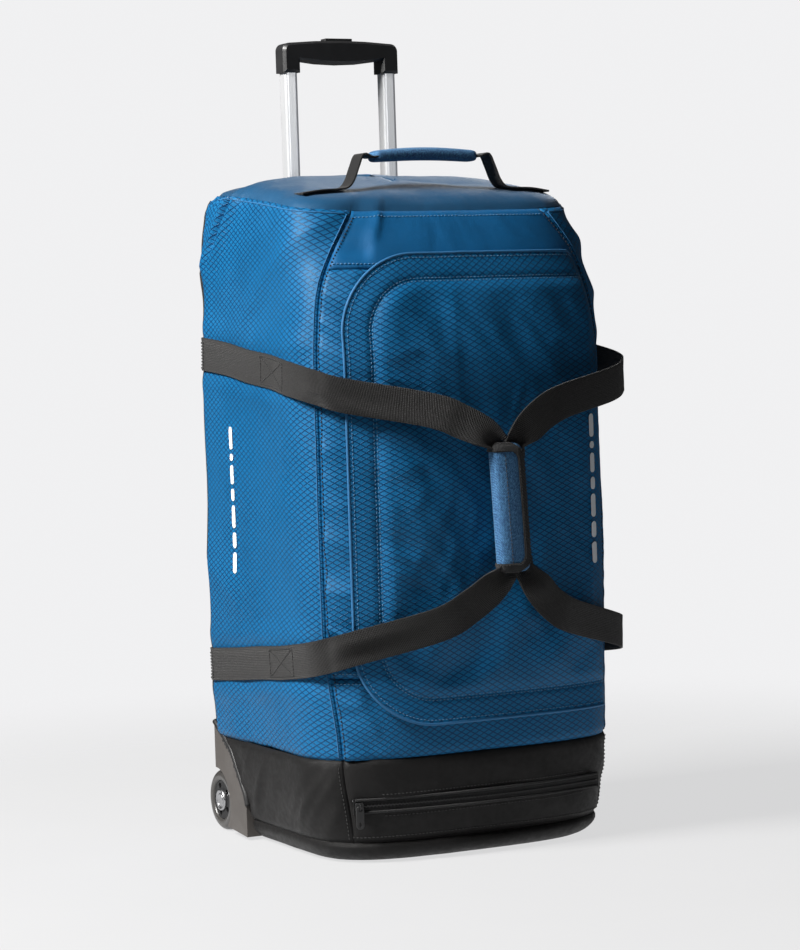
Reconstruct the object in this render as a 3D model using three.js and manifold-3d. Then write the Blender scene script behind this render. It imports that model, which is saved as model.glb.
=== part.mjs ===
// Wheeled soft duffel bag with a telescopic handle, standing upright on its base and its two wheels.
// Millimetres, +Z up, front towards -Y. Origin: centre of the flat patch under the base.
import * as THREE from "three";
import { mergeVertices } from "three/addons/utils/BufferGeometryUtils.js";
import Module from "manifold-3d";

const wasm = await Module();
wasm.setup();

// ---- Driving dimensions ----
const HALF_WIDTH = 188;
const BACK_Y = 160;
const FRONT_REACH = 120;
const CORNER_CENTRE_Y = -40;
const CORNER_POWER = 3.5;
const BACK_CORNER_RADIUS = 22;
const TOP_FRONT_REACH = 63;
const TOP_HALF_WIDTH = 172;
const TOP_CORNER_POWER = 4.2;
const TOP_FRONT_Z = 714;
const TOP_RISE = 30;
const TOP_DOME = 20;
const SHOULDER_HEIGHT = 210;
const BASE_SEAM_Z = 115;
const LOWER_SEAM_Z = 23;
const BASE_INSET = 8;
const FLOOR_INSET = 62;
const FABRIC = 3;
const SEAM_GAP = 0.4;

// Places along the outline: 0 is the middle of the front, 1 the back edge, negative on the left.
const CORNER_END = 0.6;
const BACK_CORNER_START = 0.92;
const FRONT_SEAM = 0.43;
const SEAM_SHARE = 0.003;

const LID = { left: -148, right: 178, bottom: 150, top: 663, corner: 87, lift: 8 };
const OPENING_INSET = 16;
const ZIP_TAPE_WIDTH = 20;
const YOKE_SEAM_Z = 640;
const LOWER_FRONT_SEAM_Z = 205;
const MAIN_SLIDER = { place: -0.318, z: 260, width: 9, thick: 2.6, length: 16, lift: 2.2 };
const STRIP_INNER_EDGE = 0.1;

const POCKET = { z: 65, height: 17, radius: 600, reach: 14.9, thick: 2.4, frontY: -160 };
const SLIDER = { width: 9, height: 9, thick: 3.4 };
const PULL = { width: 9, length: 26, thick: 1.6 };

const WHEEL = { x: 170.5, y: 160, z: 36, radius: 36, width: 24, core: 23, hub: 11.2, bore: 4.2 };
const WELL_RADIUS = 39.5;
const HOUSING = { outer: 187, inner: 151, cheek: 6, bore: 4.5 };
const AXLE = { radius: 3.9, head: 7.5, headThick: 3, nut: 7 };

const TUBE = { x: 64.4, y: 157, width: 16.5, depth: 19, wall: 1.3, corner: 4, bottom: 380, top: 896 };
const OUTER_TUBE = { width: 20.7, depth: 23.2, wall: 1.2, corner: 5, bottom: 62, top: 745 };
const GRIP = { width: 151, depth: 28, bottom: 888, barBottom: 903, top: 926, legWidth: 22, arch: 3 };
const BUTTON = { width: 36, depth: 13, rise: 3 };
const BEZEL = { width: 192, depth: 31, bottom: 744.5, top: 752 };

const WEBBING = { width: 38, thick: 2.6 };
const WRAP = { x: 14, y: -199, width: 40, depth: 22, bottom: 314, top: 457 };
const GRAB = { width: 25, thick: 2.6, y: -56, rise: 778, sleeve: 65 };

// ---- Solids ----
function toSolid(geometry) {
  const bare = geometry.index ? geometry.toNonIndexed() : geometry.clone();
  bare.deleteAttribute("normal");
  bare.deleteAttribute("uv");
  const merged = mergeVertices(bare, 1e-4);
  return new wasm.Manifold(new wasm.Mesh({
    numProp: 3,
    vertProperties: new Float32Array(merged.attributes.position.array),
    triVerts: new Uint32Array(merged.index.array),
  }));
}

function toGeometry(solid) {
  const mesh = solid.getMesh();
  const geometry = new THREE.BufferGeometry();
  geometry.setAttribute("position", new THREE.BufferAttribute(mesh.vertProperties, 3));
  geometry.setIndex(new THREE.BufferAttribute(mesh.triVerts, 1));
  geometry.computeVertexNormals();
  return geometry;
}

function cut(body, ...tools) {
  return toGeometry(tools.reduce((left, tool) => left.subtract(toSolid(tool)), toSolid(body)));
}

function join(body, ...others) {
  return toGeometry(others.reduce((sum, other) => sum.add(toSolid(other)), toSolid(body)));
}

function common(body, tool) {
  return toGeometry(toSolid(body).intersect(toSolid(tool)));
}

// A box from its lowest to its highest corner.
function box(x0, y0, z0, x1, y1, z1) {
  const geometry = new THREE.BoxGeometry(x1 - x0, y1 - y0, z1 - z0);
  return geometry.translate((x0 + x1) / 2, (y0 + y1) / 2, (z0 + z1) / 2);
}

// A mirror image about X = 0, with its faces still pointing out.
function mirrorX(geometry) {
  const copy = geometry.index ? geometry.toNonIndexed() : geometry.clone();
  const p = copy.attributes.position;
  for (let i = 0; i < p.count; i += 3) {
    const first = new THREE.Vector3().fromBufferAttribute(p, i);
    const second = new THREE.Vector3().fromBufferAttribute(p, i + 1);
    p.setXYZ(i, -second.x, second.y, second.z);
    p.setXYZ(i + 1, -first.x, first.y, first.z);
    p.setX(i + 2, -p.getX(i + 2));
  }
  copy.computeVertexNormals();
  return copy;
}

function onSide(side, geometry) {
  return side < 0 ? geometry : mirrorX(geometry);
}

// A closed slab between two grids of points of the same size, outer and inner.
function slab(outer, inner) {
  const rows = outer.length;
  const columns = outer[0].length;
  const points = [...outer.flat(), ...inner.flat()];
  const back = rows * columns;
  const faces = [];
  const quad = (a, b, c, d) => faces.push(a, b, c, a, c, d);
  const at = (row, column) => row * columns + column;
  for (let row = 0; row < rows - 1; row += 1) {
    for (let column = 0; column < columns - 1; column += 1) {
      const a = at(row, column);
      const b = at(row, column + 1);
      const c = at(row + 1, column + 1);
      const d = at(row + 1, column);
      quad(a, b, c, d);
      quad(back + a, back + d, back + c, back + b);
    }
  }
  for (let column = 0; column < columns - 1; column += 1) {
    const low = at(0, column);
    const high = at(rows - 1, column);
    quad(low, back + low, back + low + 1, low + 1);
    quad(high, high + 1, back + high + 1, back + high);
  }
  for (let row = 0; row < rows - 1; row += 1) {
    const first = at(row, 0);
    const last = at(row, columns - 1);
    quad(first, first + columns, back + first + columns, back + first);
    quad(last, back + last, back + last + columns, last + columns);
  }
  const geometry = new THREE.BufferGeometry();
  const flat = points.flatMap((p) => [p.x, p.y, p.z]);
  geometry.setAttribute("position", new THREE.BufferAttribute(new Float32Array(flat), 3));
  geometry.setIndex(faces);
  geometry.computeVertexNormals();
  return geometry;
}

// ---- The bag's outer surface ----
const mix = (a, b, t) => a + (b - a) * t;
const clamp01 = (t) => Math.min(1, Math.max(0, t));

// Plan of the body at one place along the outline, for a half width and a reach of the front.
function planPoint(place, reach, halfWidth, power) {
  const side = Math.sign(place) || 1;
  const along = Math.abs(place);
  if (along <= CORNER_END) {
    const angle = (along / CORNER_END) * (Math.PI / 2);
    const front = Math.cos(angle) / reach;
    const flank = Math.sin(angle) / halfWidth;
    const distance = Math.pow(Math.pow(front, power) + Math.pow(flank, power), -1 / power);
    return [side * distance * Math.sin(angle), CORNER_CENTRE_Y - distance * Math.cos(angle)];
  }
  const cornerY = BACK_Y - BACK_CORNER_RADIUS;
  if (along <= BACK_CORNER_START) {
    const y = mix(CORNER_CENTRE_Y, cornerY, (along - CORNER_END) / (BACK_CORNER_START - CORNER_END));
    return [side * halfWidth, y];
  }
  const turn = ((along - BACK_CORNER_START) / (1 - BACK_CORNER_START)) * (Math.PI / 2);
  const centreX = halfWidth - BACK_CORNER_RADIUS;
  return [
    side * (centreX + BACK_CORNER_RADIUS * Math.cos(turn)),
    cornerY + BACK_CORNER_RADIUS * Math.sin(turn),
  ];
}

const bellyPlan = (place) => planPoint(place, FRONT_REACH, HALF_WIDTH, CORNER_POWER);
const shoulderPlan = (place) => planPoint(place, TOP_FRONT_REACH, TOP_HALF_WIDTH, TOP_CORNER_POWER);

// Height of the seam round the top panel: lowest at the front.
function shoulderHeight(y) {
  const depth = BACK_Y - CORNER_CENTRE_Y + TOP_FRONT_REACH;
  return TOP_FRONT_Z + TOP_RISE * (1 - Math.pow(clamp01((BACK_Y - y) / depth), 1.6));
}

const shoulderZ = (place) => shoulderHeight(shoulderPlan(place)[1]);

// A point of the wall above the base seam. The wall leans in towards the shoulder seam.
function wallPoint(place, z) {
  const [bellyX, bellyY] = bellyPlan(place);
  const [topX, topY] = shoulderPlan(place);
  const lean = Math.pow(clamp01(1 - (shoulderZ(place) - z) / SHOULDER_HEIGHT), 3);
  return new THREE.Vector3(mix(bellyX, topX, lean), mix(bellyY, topY, lean), z);
}

// A point of the base band, between the base seam and the floor.
function basePoint(place, z) {
  const [x, y] = bellyPlan(place);
  const drop = clamp01((BASE_SEAM_Z - z) / (BASE_SEAM_Z - LOWER_SEAM_Z));
  const roll = clamp01(1 - z / LOWER_SEAM_Z);
  const inset = BASE_INSET * drop * drop + FLOOR_INSET * (1 - Math.sqrt(1 - roll * roll));
  const scale = 1 - inset / HALF_WIDTH;
  return new THREE.Vector3(x * scale, y * scale, z);
}

// A fabric panel: a patch of a surface from one place to another and from one height to another.
function panel(surface, from, to, columns, bottom, top, rows, lift = 0, thick = FABRIC) {
  const outer = [];
  const inner = [];
  const step = 1e-3;
  for (let row = 0; row <= rows; row += 1) {
    const outerRow = [];
    const innerRow = [];
    for (let column = 0; column <= columns; column += 1) {
      const place = mix(from, to, column / columns);
      const high = typeof top === "function" ? top(place) : top;
      const z = mix(bottom, high, row / rows);
      const point = surface(place, z);
      const along = surface(place + step, z).sub(surface(place - step, z));
      const up = surface(place, z + 0.5).sub(surface(place, z - 0.5));
      const normal = along.cross(up).normalize();
      outerRow.push(point.clone().addScaledVector(normal, lift));
      innerRow.push(point.clone().addScaledVector(normal, lift - thick));
    }
    outer.push(outerRow);
    inner.push(innerRow);
  }
  return slab(outer, inner);
}

// The lid's outline, seen from the front: round corners on the left, straight to the seam on the right.
function lidOutline(inset) {
  const left = LID.left + inset;
  const bottom = LID.bottom + inset;
  const top = LID.top - inset;
  const radius = LID.corner - inset;
  const shape = new THREE.Shape();
  shape.moveTo(LID.right, bottom);
  shape.lineTo(LID.right, top);
  shape.lineTo(left + radius, top);
  shape.absarc(left + radius, top - radius, radius, Math.PI / 2, Math.PI, false);
  shape.absarc(left + radius, bottom + radius, radius, Math.PI, Math.PI * 1.5, false);
  return shape;
}

// A prism in front of the bag that cuts the lid's outline out of the front.
function lidPrism(inset) {
  const prism = new THREE.ExtrudeGeometry(lidOutline(inset), {
    depth: 160, bevelEnabled: false, curveSegments: 5,
  });
  return prism.rotateX(Math.PI / 2).translate(0, -40, 0);
}

// A flat strap: a ribbon through a list of { at, across } frames, across being its width direction.
function ribbon(frames, width, thick) {
  const corners = frames.map(({ at, across, out }) => {
    const w = across.clone().normalize().multiplyScalar(width / 2);
    const n = out.clone().normalize().multiplyScalar(thick / 2);
    return [
      at.clone().add(n).sub(w), at.clone().add(n).add(w),
      at.clone().sub(n).sub(w), at.clone().sub(n).add(w),
    ];
  });
  return slab(
    [corners.map((c) => c[0]), corners.map((c) => c[1])],
    [corners.map((c) => c[2]), corners.map((c) => c[3])],
  );
}

function roundedRect(width, depth, radius) {
  const shape = new THREE.Shape();
  const x = width / 2 - radius;
  const y = depth / 2 - radius;
  shape.absarc(x, -y, radius, -Math.PI / 2, 0, false);
  shape.absarc(x, y, radius, 0, Math.PI / 2, false);
  shape.absarc(-x, y, radius, Math.PI / 2, Math.PI, false);
  shape.absarc(-x, -y, radius, Math.PI, Math.PI * 1.5, false);
  return shape;
}

function tube(spec, x, y, bottom, top) {
  const shape = roundedRect(spec.width, spec.depth, spec.corner);
  const hole = roundedRect(spec.width - 2 * spec.wall, spec.depth - 2 * spec.wall, spec.corner - spec.wall);
  shape.holes.push(new THREE.Path(hole.getPoints(3).reverse()));
  const geometry = new THREE.ExtrudeGeometry(shape, {
    depth: top - bottom, bevelEnabled: false, curveSegments: 3,
  });
  return geometry.translate(x, y, bottom);
}

function rod(radius, x, y, bottom, top, sides = 12) {
  const geometry = new THREE.CylinderGeometry(radius, radius, top - bottom, sides);
  return geometry.rotateX(Math.PI / 2).translate(x, y, (bottom + top) / 2);
}

// A cylinder along X on the wheel's axis, from one X to another.
function axial(radius, x0, x1, sides = 28) {
  const geometry = new THREE.CylinderGeometry(radius, radius, x1 - x0, sides);
  return geometry.rotateZ(Math.PI / 2).translate((x0 + x1) / 2, WHEEL.y, WHEEL.z);
}

// A ring round the wheel's axis from a profile of [radius, x] points, at X = centre.
function wheelRing(profile, centre, sides) {
  const points = profile.map(([radius, x]) => new THREE.Vector2(radius, x));
  const geometry = new THREE.LatheGeometry([...points, points[0]], sides);
  return geometry.rotateZ(-Math.PI / 2).translate(centre, WHEEL.y, WHEEL.z);
}

// ---- Scene graph ----
const finishes = {
  ripstop: { color: 0x1c4f80, roughness: 0.55, metalness: 0 },
  plainFabric: { color: 0x1d4a78, roughness: 0.6, metalness: 0 },
  baseFabric: { color: 0x222223, roughness: 0.7, metalness: 0 },
  webbing: { color: 0x232425, roughness: 0.75, metalness: 0 },
  twill: { color: 0x2d6090, roughness: 0.8, metalness: 0 },
  housing: { color: 0x5d5a56, roughness: 0.5, metalness: 0 },
  blackPlastic: { color: 0x2a2a2b, roughness: 0.45, metalness: 0 },
  tyre: { color: 0x55534f, roughness: 0.45, metalness: 0 },
  steel: { color: 0xb9babc, roughness: 0.3, metalness: 1 },
  aluminium: { color: 0xd6d7d8, roughness: 0.3, metalness: 1 },
  board: { color: 0x3a3a3c, roughness: 0.7, metalness: 0 },
};

const bag = new THREE.Group();

function add(name, finish, geometry) {
  const mesh = new THREE.Mesh(geometry, new THREE.MeshStandardMaterial(finishes[finish]));
  mesh.name = name;
  bag.add(mesh);
}

const sides = [["left", -1], ["right", 1]];

// The wheel housing's side view as [y, z] points, grown outwards by a margin.
function housingProfile(margin) {
  const outline = [
    [75 - margin, 4 - margin], [131, 9 - margin], [BACK_Y + 1 + margin, 9 - margin],
    [BACK_Y + 1 + margin, 126 + margin], [148 - margin, 118 + margin], [115 - margin, 97 + margin],
    [88 - margin, 62 + margin], [75 - margin, 40 + margin],
  ];
  return new THREE.Shape(outline.map(([y, z]) => new THREE.Vector2(y, z)));
}

// The housing's side view extruded from one X to another. The extrusion's own axes are y, z and x.
function housingBlock(margin, x0, x1) {
  const block = new THREE.ExtrudeGeometry(housingProfile(margin), { depth: x1 - x0, bevelEnabled: false });
  const turned = new THREE.Matrix4().makeBasis(
    new THREE.Vector3(0, 1, 0), new THREE.Vector3(0, 0, 1), new THREE.Vector3(1, 0, 0),
  );
  return block.applyMatrix4(turned).translate(x0, 0, 0);
}

// Space that the wheel and its housing take out of the base band and the side panel, left side.
const housingRoom = join(
  housingBlock(1, -260, -(HOUSING.inner - 1)),
  box(-260, 112, -20, -(HOUSING.inner - 1), 260, 82),
);

function sidePanels() {
  for (const [name, side] of sides) {
    const skin = panel(wallPoint, -1, -FRONT_SEAM - SEAM_SHARE, 12, BASE_SEAM_Z + SEAM_GAP, shoulderZ, 7);
    add(`side_panel_${name}`, "ripstop", onSide(side, cut(skin, housingRoom)));
    const lowSkin = panel(
      basePoint, -1, -FRONT_SEAM - SEAM_SHARE, 12, LOWER_SEAM_Z + SEAM_GAP, BASE_SEAM_Z - SEAM_GAP, 3,
    );
    add(`base_side_${name}`, "baseFabric", onSide(side, cut(lowSkin, housingRoom)));
  }
}

function frontPanels() {
  const edge = FRONT_SEAM - SEAM_SHARE;
  const hole = lidPrism(OPENING_INSET);
  const yoke = panel(wallPoint, -edge, edge, 12, YOKE_SEAM_Z + SEAM_GAP, shoulderZ, 4);
  add("front_yoke", "plainFabric", cut(yoke, hole));
  const strip = panel(
    wallPoint, -edge, -STRIP_INNER_EDGE, 6, LOWER_FRONT_SEAM_Z + SEAM_GAP, YOKE_SEAM_Z - SEAM_GAP, 8,
  );
  add("front_strip_left", "ripstop", cut(strip, hole));
  const lower = panel(
    wallPoint, -edge, edge, 12, BASE_SEAM_Z + SEAM_GAP, LOWER_FRONT_SEAM_Z - SEAM_GAP, 1,
  );
  add("front_lower_panel", "ripstop", cut(lower, hole));
  const skin = (lift, thick) => panel(wallPoint, -edge, edge, 12, 140, 680, 10, lift, thick);
  add("lid_flap", "ripstop", common(skin(LID.lift, FABRIC), lidPrism(0)));
  const tape = common(skin(0, 2), lidPrism(OPENING_INSET + 0.6));
  add("main_zip_tape", "webbing", cut(tape, lidPrism(OPENING_INSET + ZIP_TAPE_WIDTH)));
}

// The slider of the lid's zip, on the tape under the lid's left edge.
function mainZipSlider() {
  const at = wallPoint(MAIN_SLIDER.place, MAIN_SLIDER.z);
  const beside = wallPoint(MAIN_SLIDER.place + 0.01, MAIN_SLIDER.z);
  const block = new THREE.BoxGeometry(MAIN_SLIDER.width, MAIN_SLIDER.thick, MAIN_SLIDER.length);
  block.rotateZ(Math.atan2(beside.y - at.y, beside.x - at.x));
  const out = new THREE.Vector3(beside.y - at.y, at.x - beside.x, 0).normalize();
  const centre = at.addScaledVector(out, MAIN_SLIDER.lift);
  add("main_zip_slider", "blackPlastic", block.translate(centre.x, centre.y, centre.z));
}

function topZ(x, y) {
  const across = clamp01(1 - Math.pow(x / TOP_HALF_WIDTH, 2));
  const along = clamp01(1 - Math.pow((y - 60) / 160, 2));
  return shoulderHeight(y) + TOP_DOME * across * along;
}

function topPanel() {
  const rows = 8;
  const columns = 10;
  const sheet = (drop) => Array.from({ length: rows + 1 }, (_, row) => {
    const y = mix(-112, 160, row / rows);
    return Array.from({ length: columns + 1 }, (_, column) => {
      const x = mix(-172, 172, column / columns);
      return new THREE.Vector3(x, y, topZ(x, y) - drop);
    });
  });
  const inside = 0.95;
  const rim = Array.from({ length: 49 }, (_, i) => shoulderPlan(-1 + i / 24));
  const shape = new THREE.Shape(rim.map(([x, y]) => new THREE.Vector2(x * inside, y * inside)));
  const prism = new THREE.ExtrudeGeometry(shape, { depth: 200, bevelEnabled: false });
  const mouth = box(
    -BEZEL.width / 2 - SEAM_GAP, BACK_Y - BEZEL.depth + 8, 600, BEZEL.width / 2 + SEAM_GAP, 260, 800,
  );
  const sheeted = common(slab(sheet(0), sheet(FABRIC)), prism.translate(0, 0, 650));
  add("top_panel", "plainFabric", cut(sheeted, mouth));
}

function baseParts() {
  const edge = FRONT_SEAM - SEAM_SHARE;
  const front = panel(
    basePoint, -edge, edge, 12, LOWER_SEAM_Z + SEAM_GAP, BASE_SEAM_Z - SEAM_GAP, 3,
  );
  const window = pocketBand(POCKET.radius - 8, POCKET.radius + 30, POCKET.reach + 0.06, POCKET.height + 0.8);
  add("base_front", "baseFabric", cut(front, window));
  add("pocket_liner", "baseFabric", panel(basePoint, -0.36, 0.36, 8, 28, 108, 1, -22, 1.5));

  const heights = [LOWER_SEAM_Z, 14, 6, 1.5, 0];
  const places = Array.from({ length: 33 }, (_, i) => -1 + i / 16);
  const outer = heights.map((z) => places.map((place) => basePoint(place, z)));
  const outline = (row) => new THREE.Shape(row.map((p) => new THREE.Vector2(p.x, p.y)));
  const layers = outer.slice(0, -1).map((row, i) => {
    const lower = outer[i + 1];
    return loftLayer(row, lower);
  });
  const pillow = join(layers[0], ...layers.slice(1));
  const hollow = new THREE.ExtrudeGeometry(outline(outer[3]), { depth: 60, bevelEnabled: false });
  const base = cut(pillow, hollow.translate(0, 0, 3.2), housingRoom, mirrorX(housingRoom));
  add("base_panel", "baseFabric", base);
  const stiffener = new THREE.ExtrudeGeometry(outline(outer[4]), { depth: 2.5, bevelEnabled: false });
  const board = cut(stiffener.translate(0, 0, 3.6), housingRoom, mirrorX(housingRoom));
  add("base_board", "board", board);
}

// A closed layer between two level rings of points, the upper one first.
function loftLayer(upper, lower) {
  const count = upper.length;
  const ring = [...upper, ...lower];
  const faces = [];
  for (let i = 0; i < count; i += 1) {
    const next = (i + 1) % count;
    faces.push(i, count + i, count + next, i, count + next, next);
  }
  const flatFace = (row) =>
    THREE.ShapeUtils.triangulateShape(row.map((p) => new THREE.Vector2(p.x, p.y)), []);
  for (const [a, b, c] of flatFace(upper)) faces.push(a, b, c);
  for (const [a, b, c] of flatFace(lower)) faces.push(count + a, count + c, count + b);
  const geometry = new THREE.BufferGeometry();
  const flat = ring.flatMap((p) => [p.x, p.y, p.z]);
  geometry.setAttribute("position", new THREE.BufferAttribute(new Float32Array(flat), 3));
  geometry.setIndex(faces);
  return geometry;
}

// The pocket zip runs on an arc round a far centre, so its slider turns about that centre.
const pocketCentreY = POCKET.frontY + POCKET.radius;

function pocketArc(angle, radius, z) {
  const a = THREE.MathUtils.degToRad(angle);
  return new THREE.Vector3(radius * Math.sin(a), pocketCentreY - radius * Math.cos(a), z);
}

// A band on the pocket's arc between two radii.
function pocketBand(inner, outer, reach, height) {
  const steps = 10;
  const grid = (radius) => [0, 1].map((row) => Array.from({ length: steps + 1 }, (_, i) =>
    pocketArc(mix(-reach, reach, i / steps), radius, POCKET.z + (row - 0.5) * height)));
  return slab(grid(outer), grid(inner));
}

function pocketZip() {
  const outerRadius = POCKET.radius + POCKET.thick;
  const tape = pocketBand(POCKET.radius, outerRadius, POCKET.reach, POCKET.height);
  add("pocket_zip_tape", "webbing", tape);
  const start = 0.6 - POCKET.reach;
  const turn = THREE.MathUtils.degToRad(start);
  const middle = pocketArc(start, outerRadius + SEAM_GAP + SLIDER.thick / 2, POCKET.z);
  const block = new THREE.BoxGeometry(SLIDER.width, SLIDER.thick, SLIDER.height);
  add("pocket_slider", "blackPlastic", block.rotateZ(turn).translate(middle.x, middle.y, middle.z));
  const hang = pocketArc(start, outerRadius + SEAM_GAP * 2 + SLIDER.thick + PULL.thick / 2, 0);
  const tab = new THREE.BoxGeometry(PULL.width, PULL.thick, PULL.length);
  tab.rotateZ(turn).translate(hang.x, hang.y, POCKET.z + 2 - PULL.length / 2);
  add("pocket_pull", "blackPlastic", tab);
}

function backParts() {
  add("back_board", "board", box(-147, 140, 26, 147, 143.5, 738));
  const crown = 16;
  const rows = 6;
  const columns = 10;
  const outer = [];
  const inner = [];
  for (let row = 0; row <= rows; row += 1) {
    const z = mix(132, 738, row / rows);
    const edge = wallPoint(1, z).x - 1;
    const line = Array.from({ length: columns + 1 }, (_, i) => {
      const share = mix(1, -1, i / columns);
      const bulge = crown * Math.pow(1 - Math.pow(share, 4), 0.6);
      return new THREE.Vector3(edge * share, BACK_Y + bulge, z);
    });
    outer.push(line);
    inner.push(line.map((p) => p.clone().add(new THREE.Vector3(0, -FABRIC, 0))));
  }
  add("back_cover", "baseFabric", slab(outer, inner));
  const plate = box(-140, 145, 28, 140, 174, 130);
  const room = box(-136, 100, 20, 136, 170.6, 140);
  add("kick_plate", "blackPlastic", cut(plate, room));
  for (const [name, side] of sides) {
    const edge = [132, 350, 560, 650, 735].map((z) => {
      const { x, y } = wallPoint(-0.965, z);
      return new THREE.Vector3(x - 3.4, y + 3.4, z);
    });
    const cord = new THREE.ExtrudeGeometry(new THREE.Shape(
      new THREE.EllipseCurve(0, 0, 4, 4, 0, Math.PI * 2).getPoints(8).slice(0, 8),
    ), { steps: 8, bevelEnabled: false, extrudePath: new THREE.CatmullRomCurve3(edge) });
    add(`back_piping_${name}`, "webbing", onSide(side, cord));
  }
}

function wheelHousing(name, side) {
  const block = housingBlock(0, -HOUSING.outer, -HOUSING.inner);
  const cheekOuter = -(HOUSING.inner + HOUSING.cheek);
  const lug = box(cheekOuter, 150, 14, -HOUSING.inner, 176, 62);
  const well = axial(WELL_RADIUS, -260, cheekOuter);
  const behind = box(-260, WHEEL.y, -20, cheekOuter, 260, 74);
  const bore = axial(HOUSING.bore, -260, 0, 20);
  const body = cut(join(block, lug), well, behind, bore);
  add(`wheel_housing_${name}`, "housing", onSide(side, body));
}

function wheel(name, side) {
  const half = WHEEL.width / 2;
  const centre = -WHEEL.x;
  const tyre = [
    [WHEEL.core, -half + 1], [WHEEL.core + 4, -half], [31, -half + 2.5], [34.6, -half + 6],
    [WHEEL.radius, 0], [34.6, half - 6], [31, half - 2.5], [WHEEL.core + 4, half], [WHEEL.core, half - 1],
  ];
  add(`tyre_${name}`, "tyre", onSide(side, wheelRing(tyre, centre, 28)));
  const outer = WHEEL.core - 0.3;
  const core = [
    [WHEEL.hub, -half + 2], [outer, -half + 2], [outer, half - 2], [WHEEL.hub, half - 2],
  ];
  const pockets = Array.from({ length: 5 }, (_, i) => {
    const a = (i / 5) * Math.PI * 2;
    const pocket = new THREE.CylinderGeometry(3.6, 3.6, 7, 8).rotateZ(Math.PI / 2);
    return pocket.translate(centre - half + 2, WHEEL.y + 17 * Math.cos(a), WHEEL.z + 17 * Math.sin(a));
  });
  add(`wheel_core_${name}`, "blackPlastic", onSide(side, cut(wheelRing(core, centre, 24), ...pockets)));
  const race = WHEEL.hub - 0.3;
  for (const [place, x] of [["outer", -half + 6], ["inner", half - 6]]) {
    const ring = [[WHEEL.bore, -3.5], [race, -3.5], [race, 3.5], [WHEEL.bore, 3.5]];
    add(`bearing_${place}_${name}`, "steel", onSide(side, wheelRing(ring, centre + x, 16)));
  }
  const face = -(WHEEL.x + half);
  const head = axial(AXLE.head, face - AXLE.headThick + 2, face + 2 - 0.3 - 0.1, 6);
  const shank = axial(AXLE.radius, face - 1, -HOUSING.inner + 10, 20);
  add(`axle_${name}`, "steel", onSide(side, join(head, shank)));
  const nut = cut(
    axial(AXLE.nut, -HOUSING.inner + 0.4, -HOUSING.inner + 7, 6),
    axial(AXLE.radius + 0.35, -HOUSING.inner - 5, -HOUSING.inner + 20, 20),
  );
  add(`axle_nut_${name}`, "steel", onSide(side, nut));
}

// The block that holds the lock pin in the end of a trolley tube.
function lockBody(x) {
  const shape = roundedRect(13, 15.5, 2.6);
  const body = new THREE.ExtrudeGeometry(shape, { depth: 26, bevelEnabled: false, curveSegments: 2 });
  return body.translate(x, TUBE.y, TUBE.bottom - 14);
}

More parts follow.
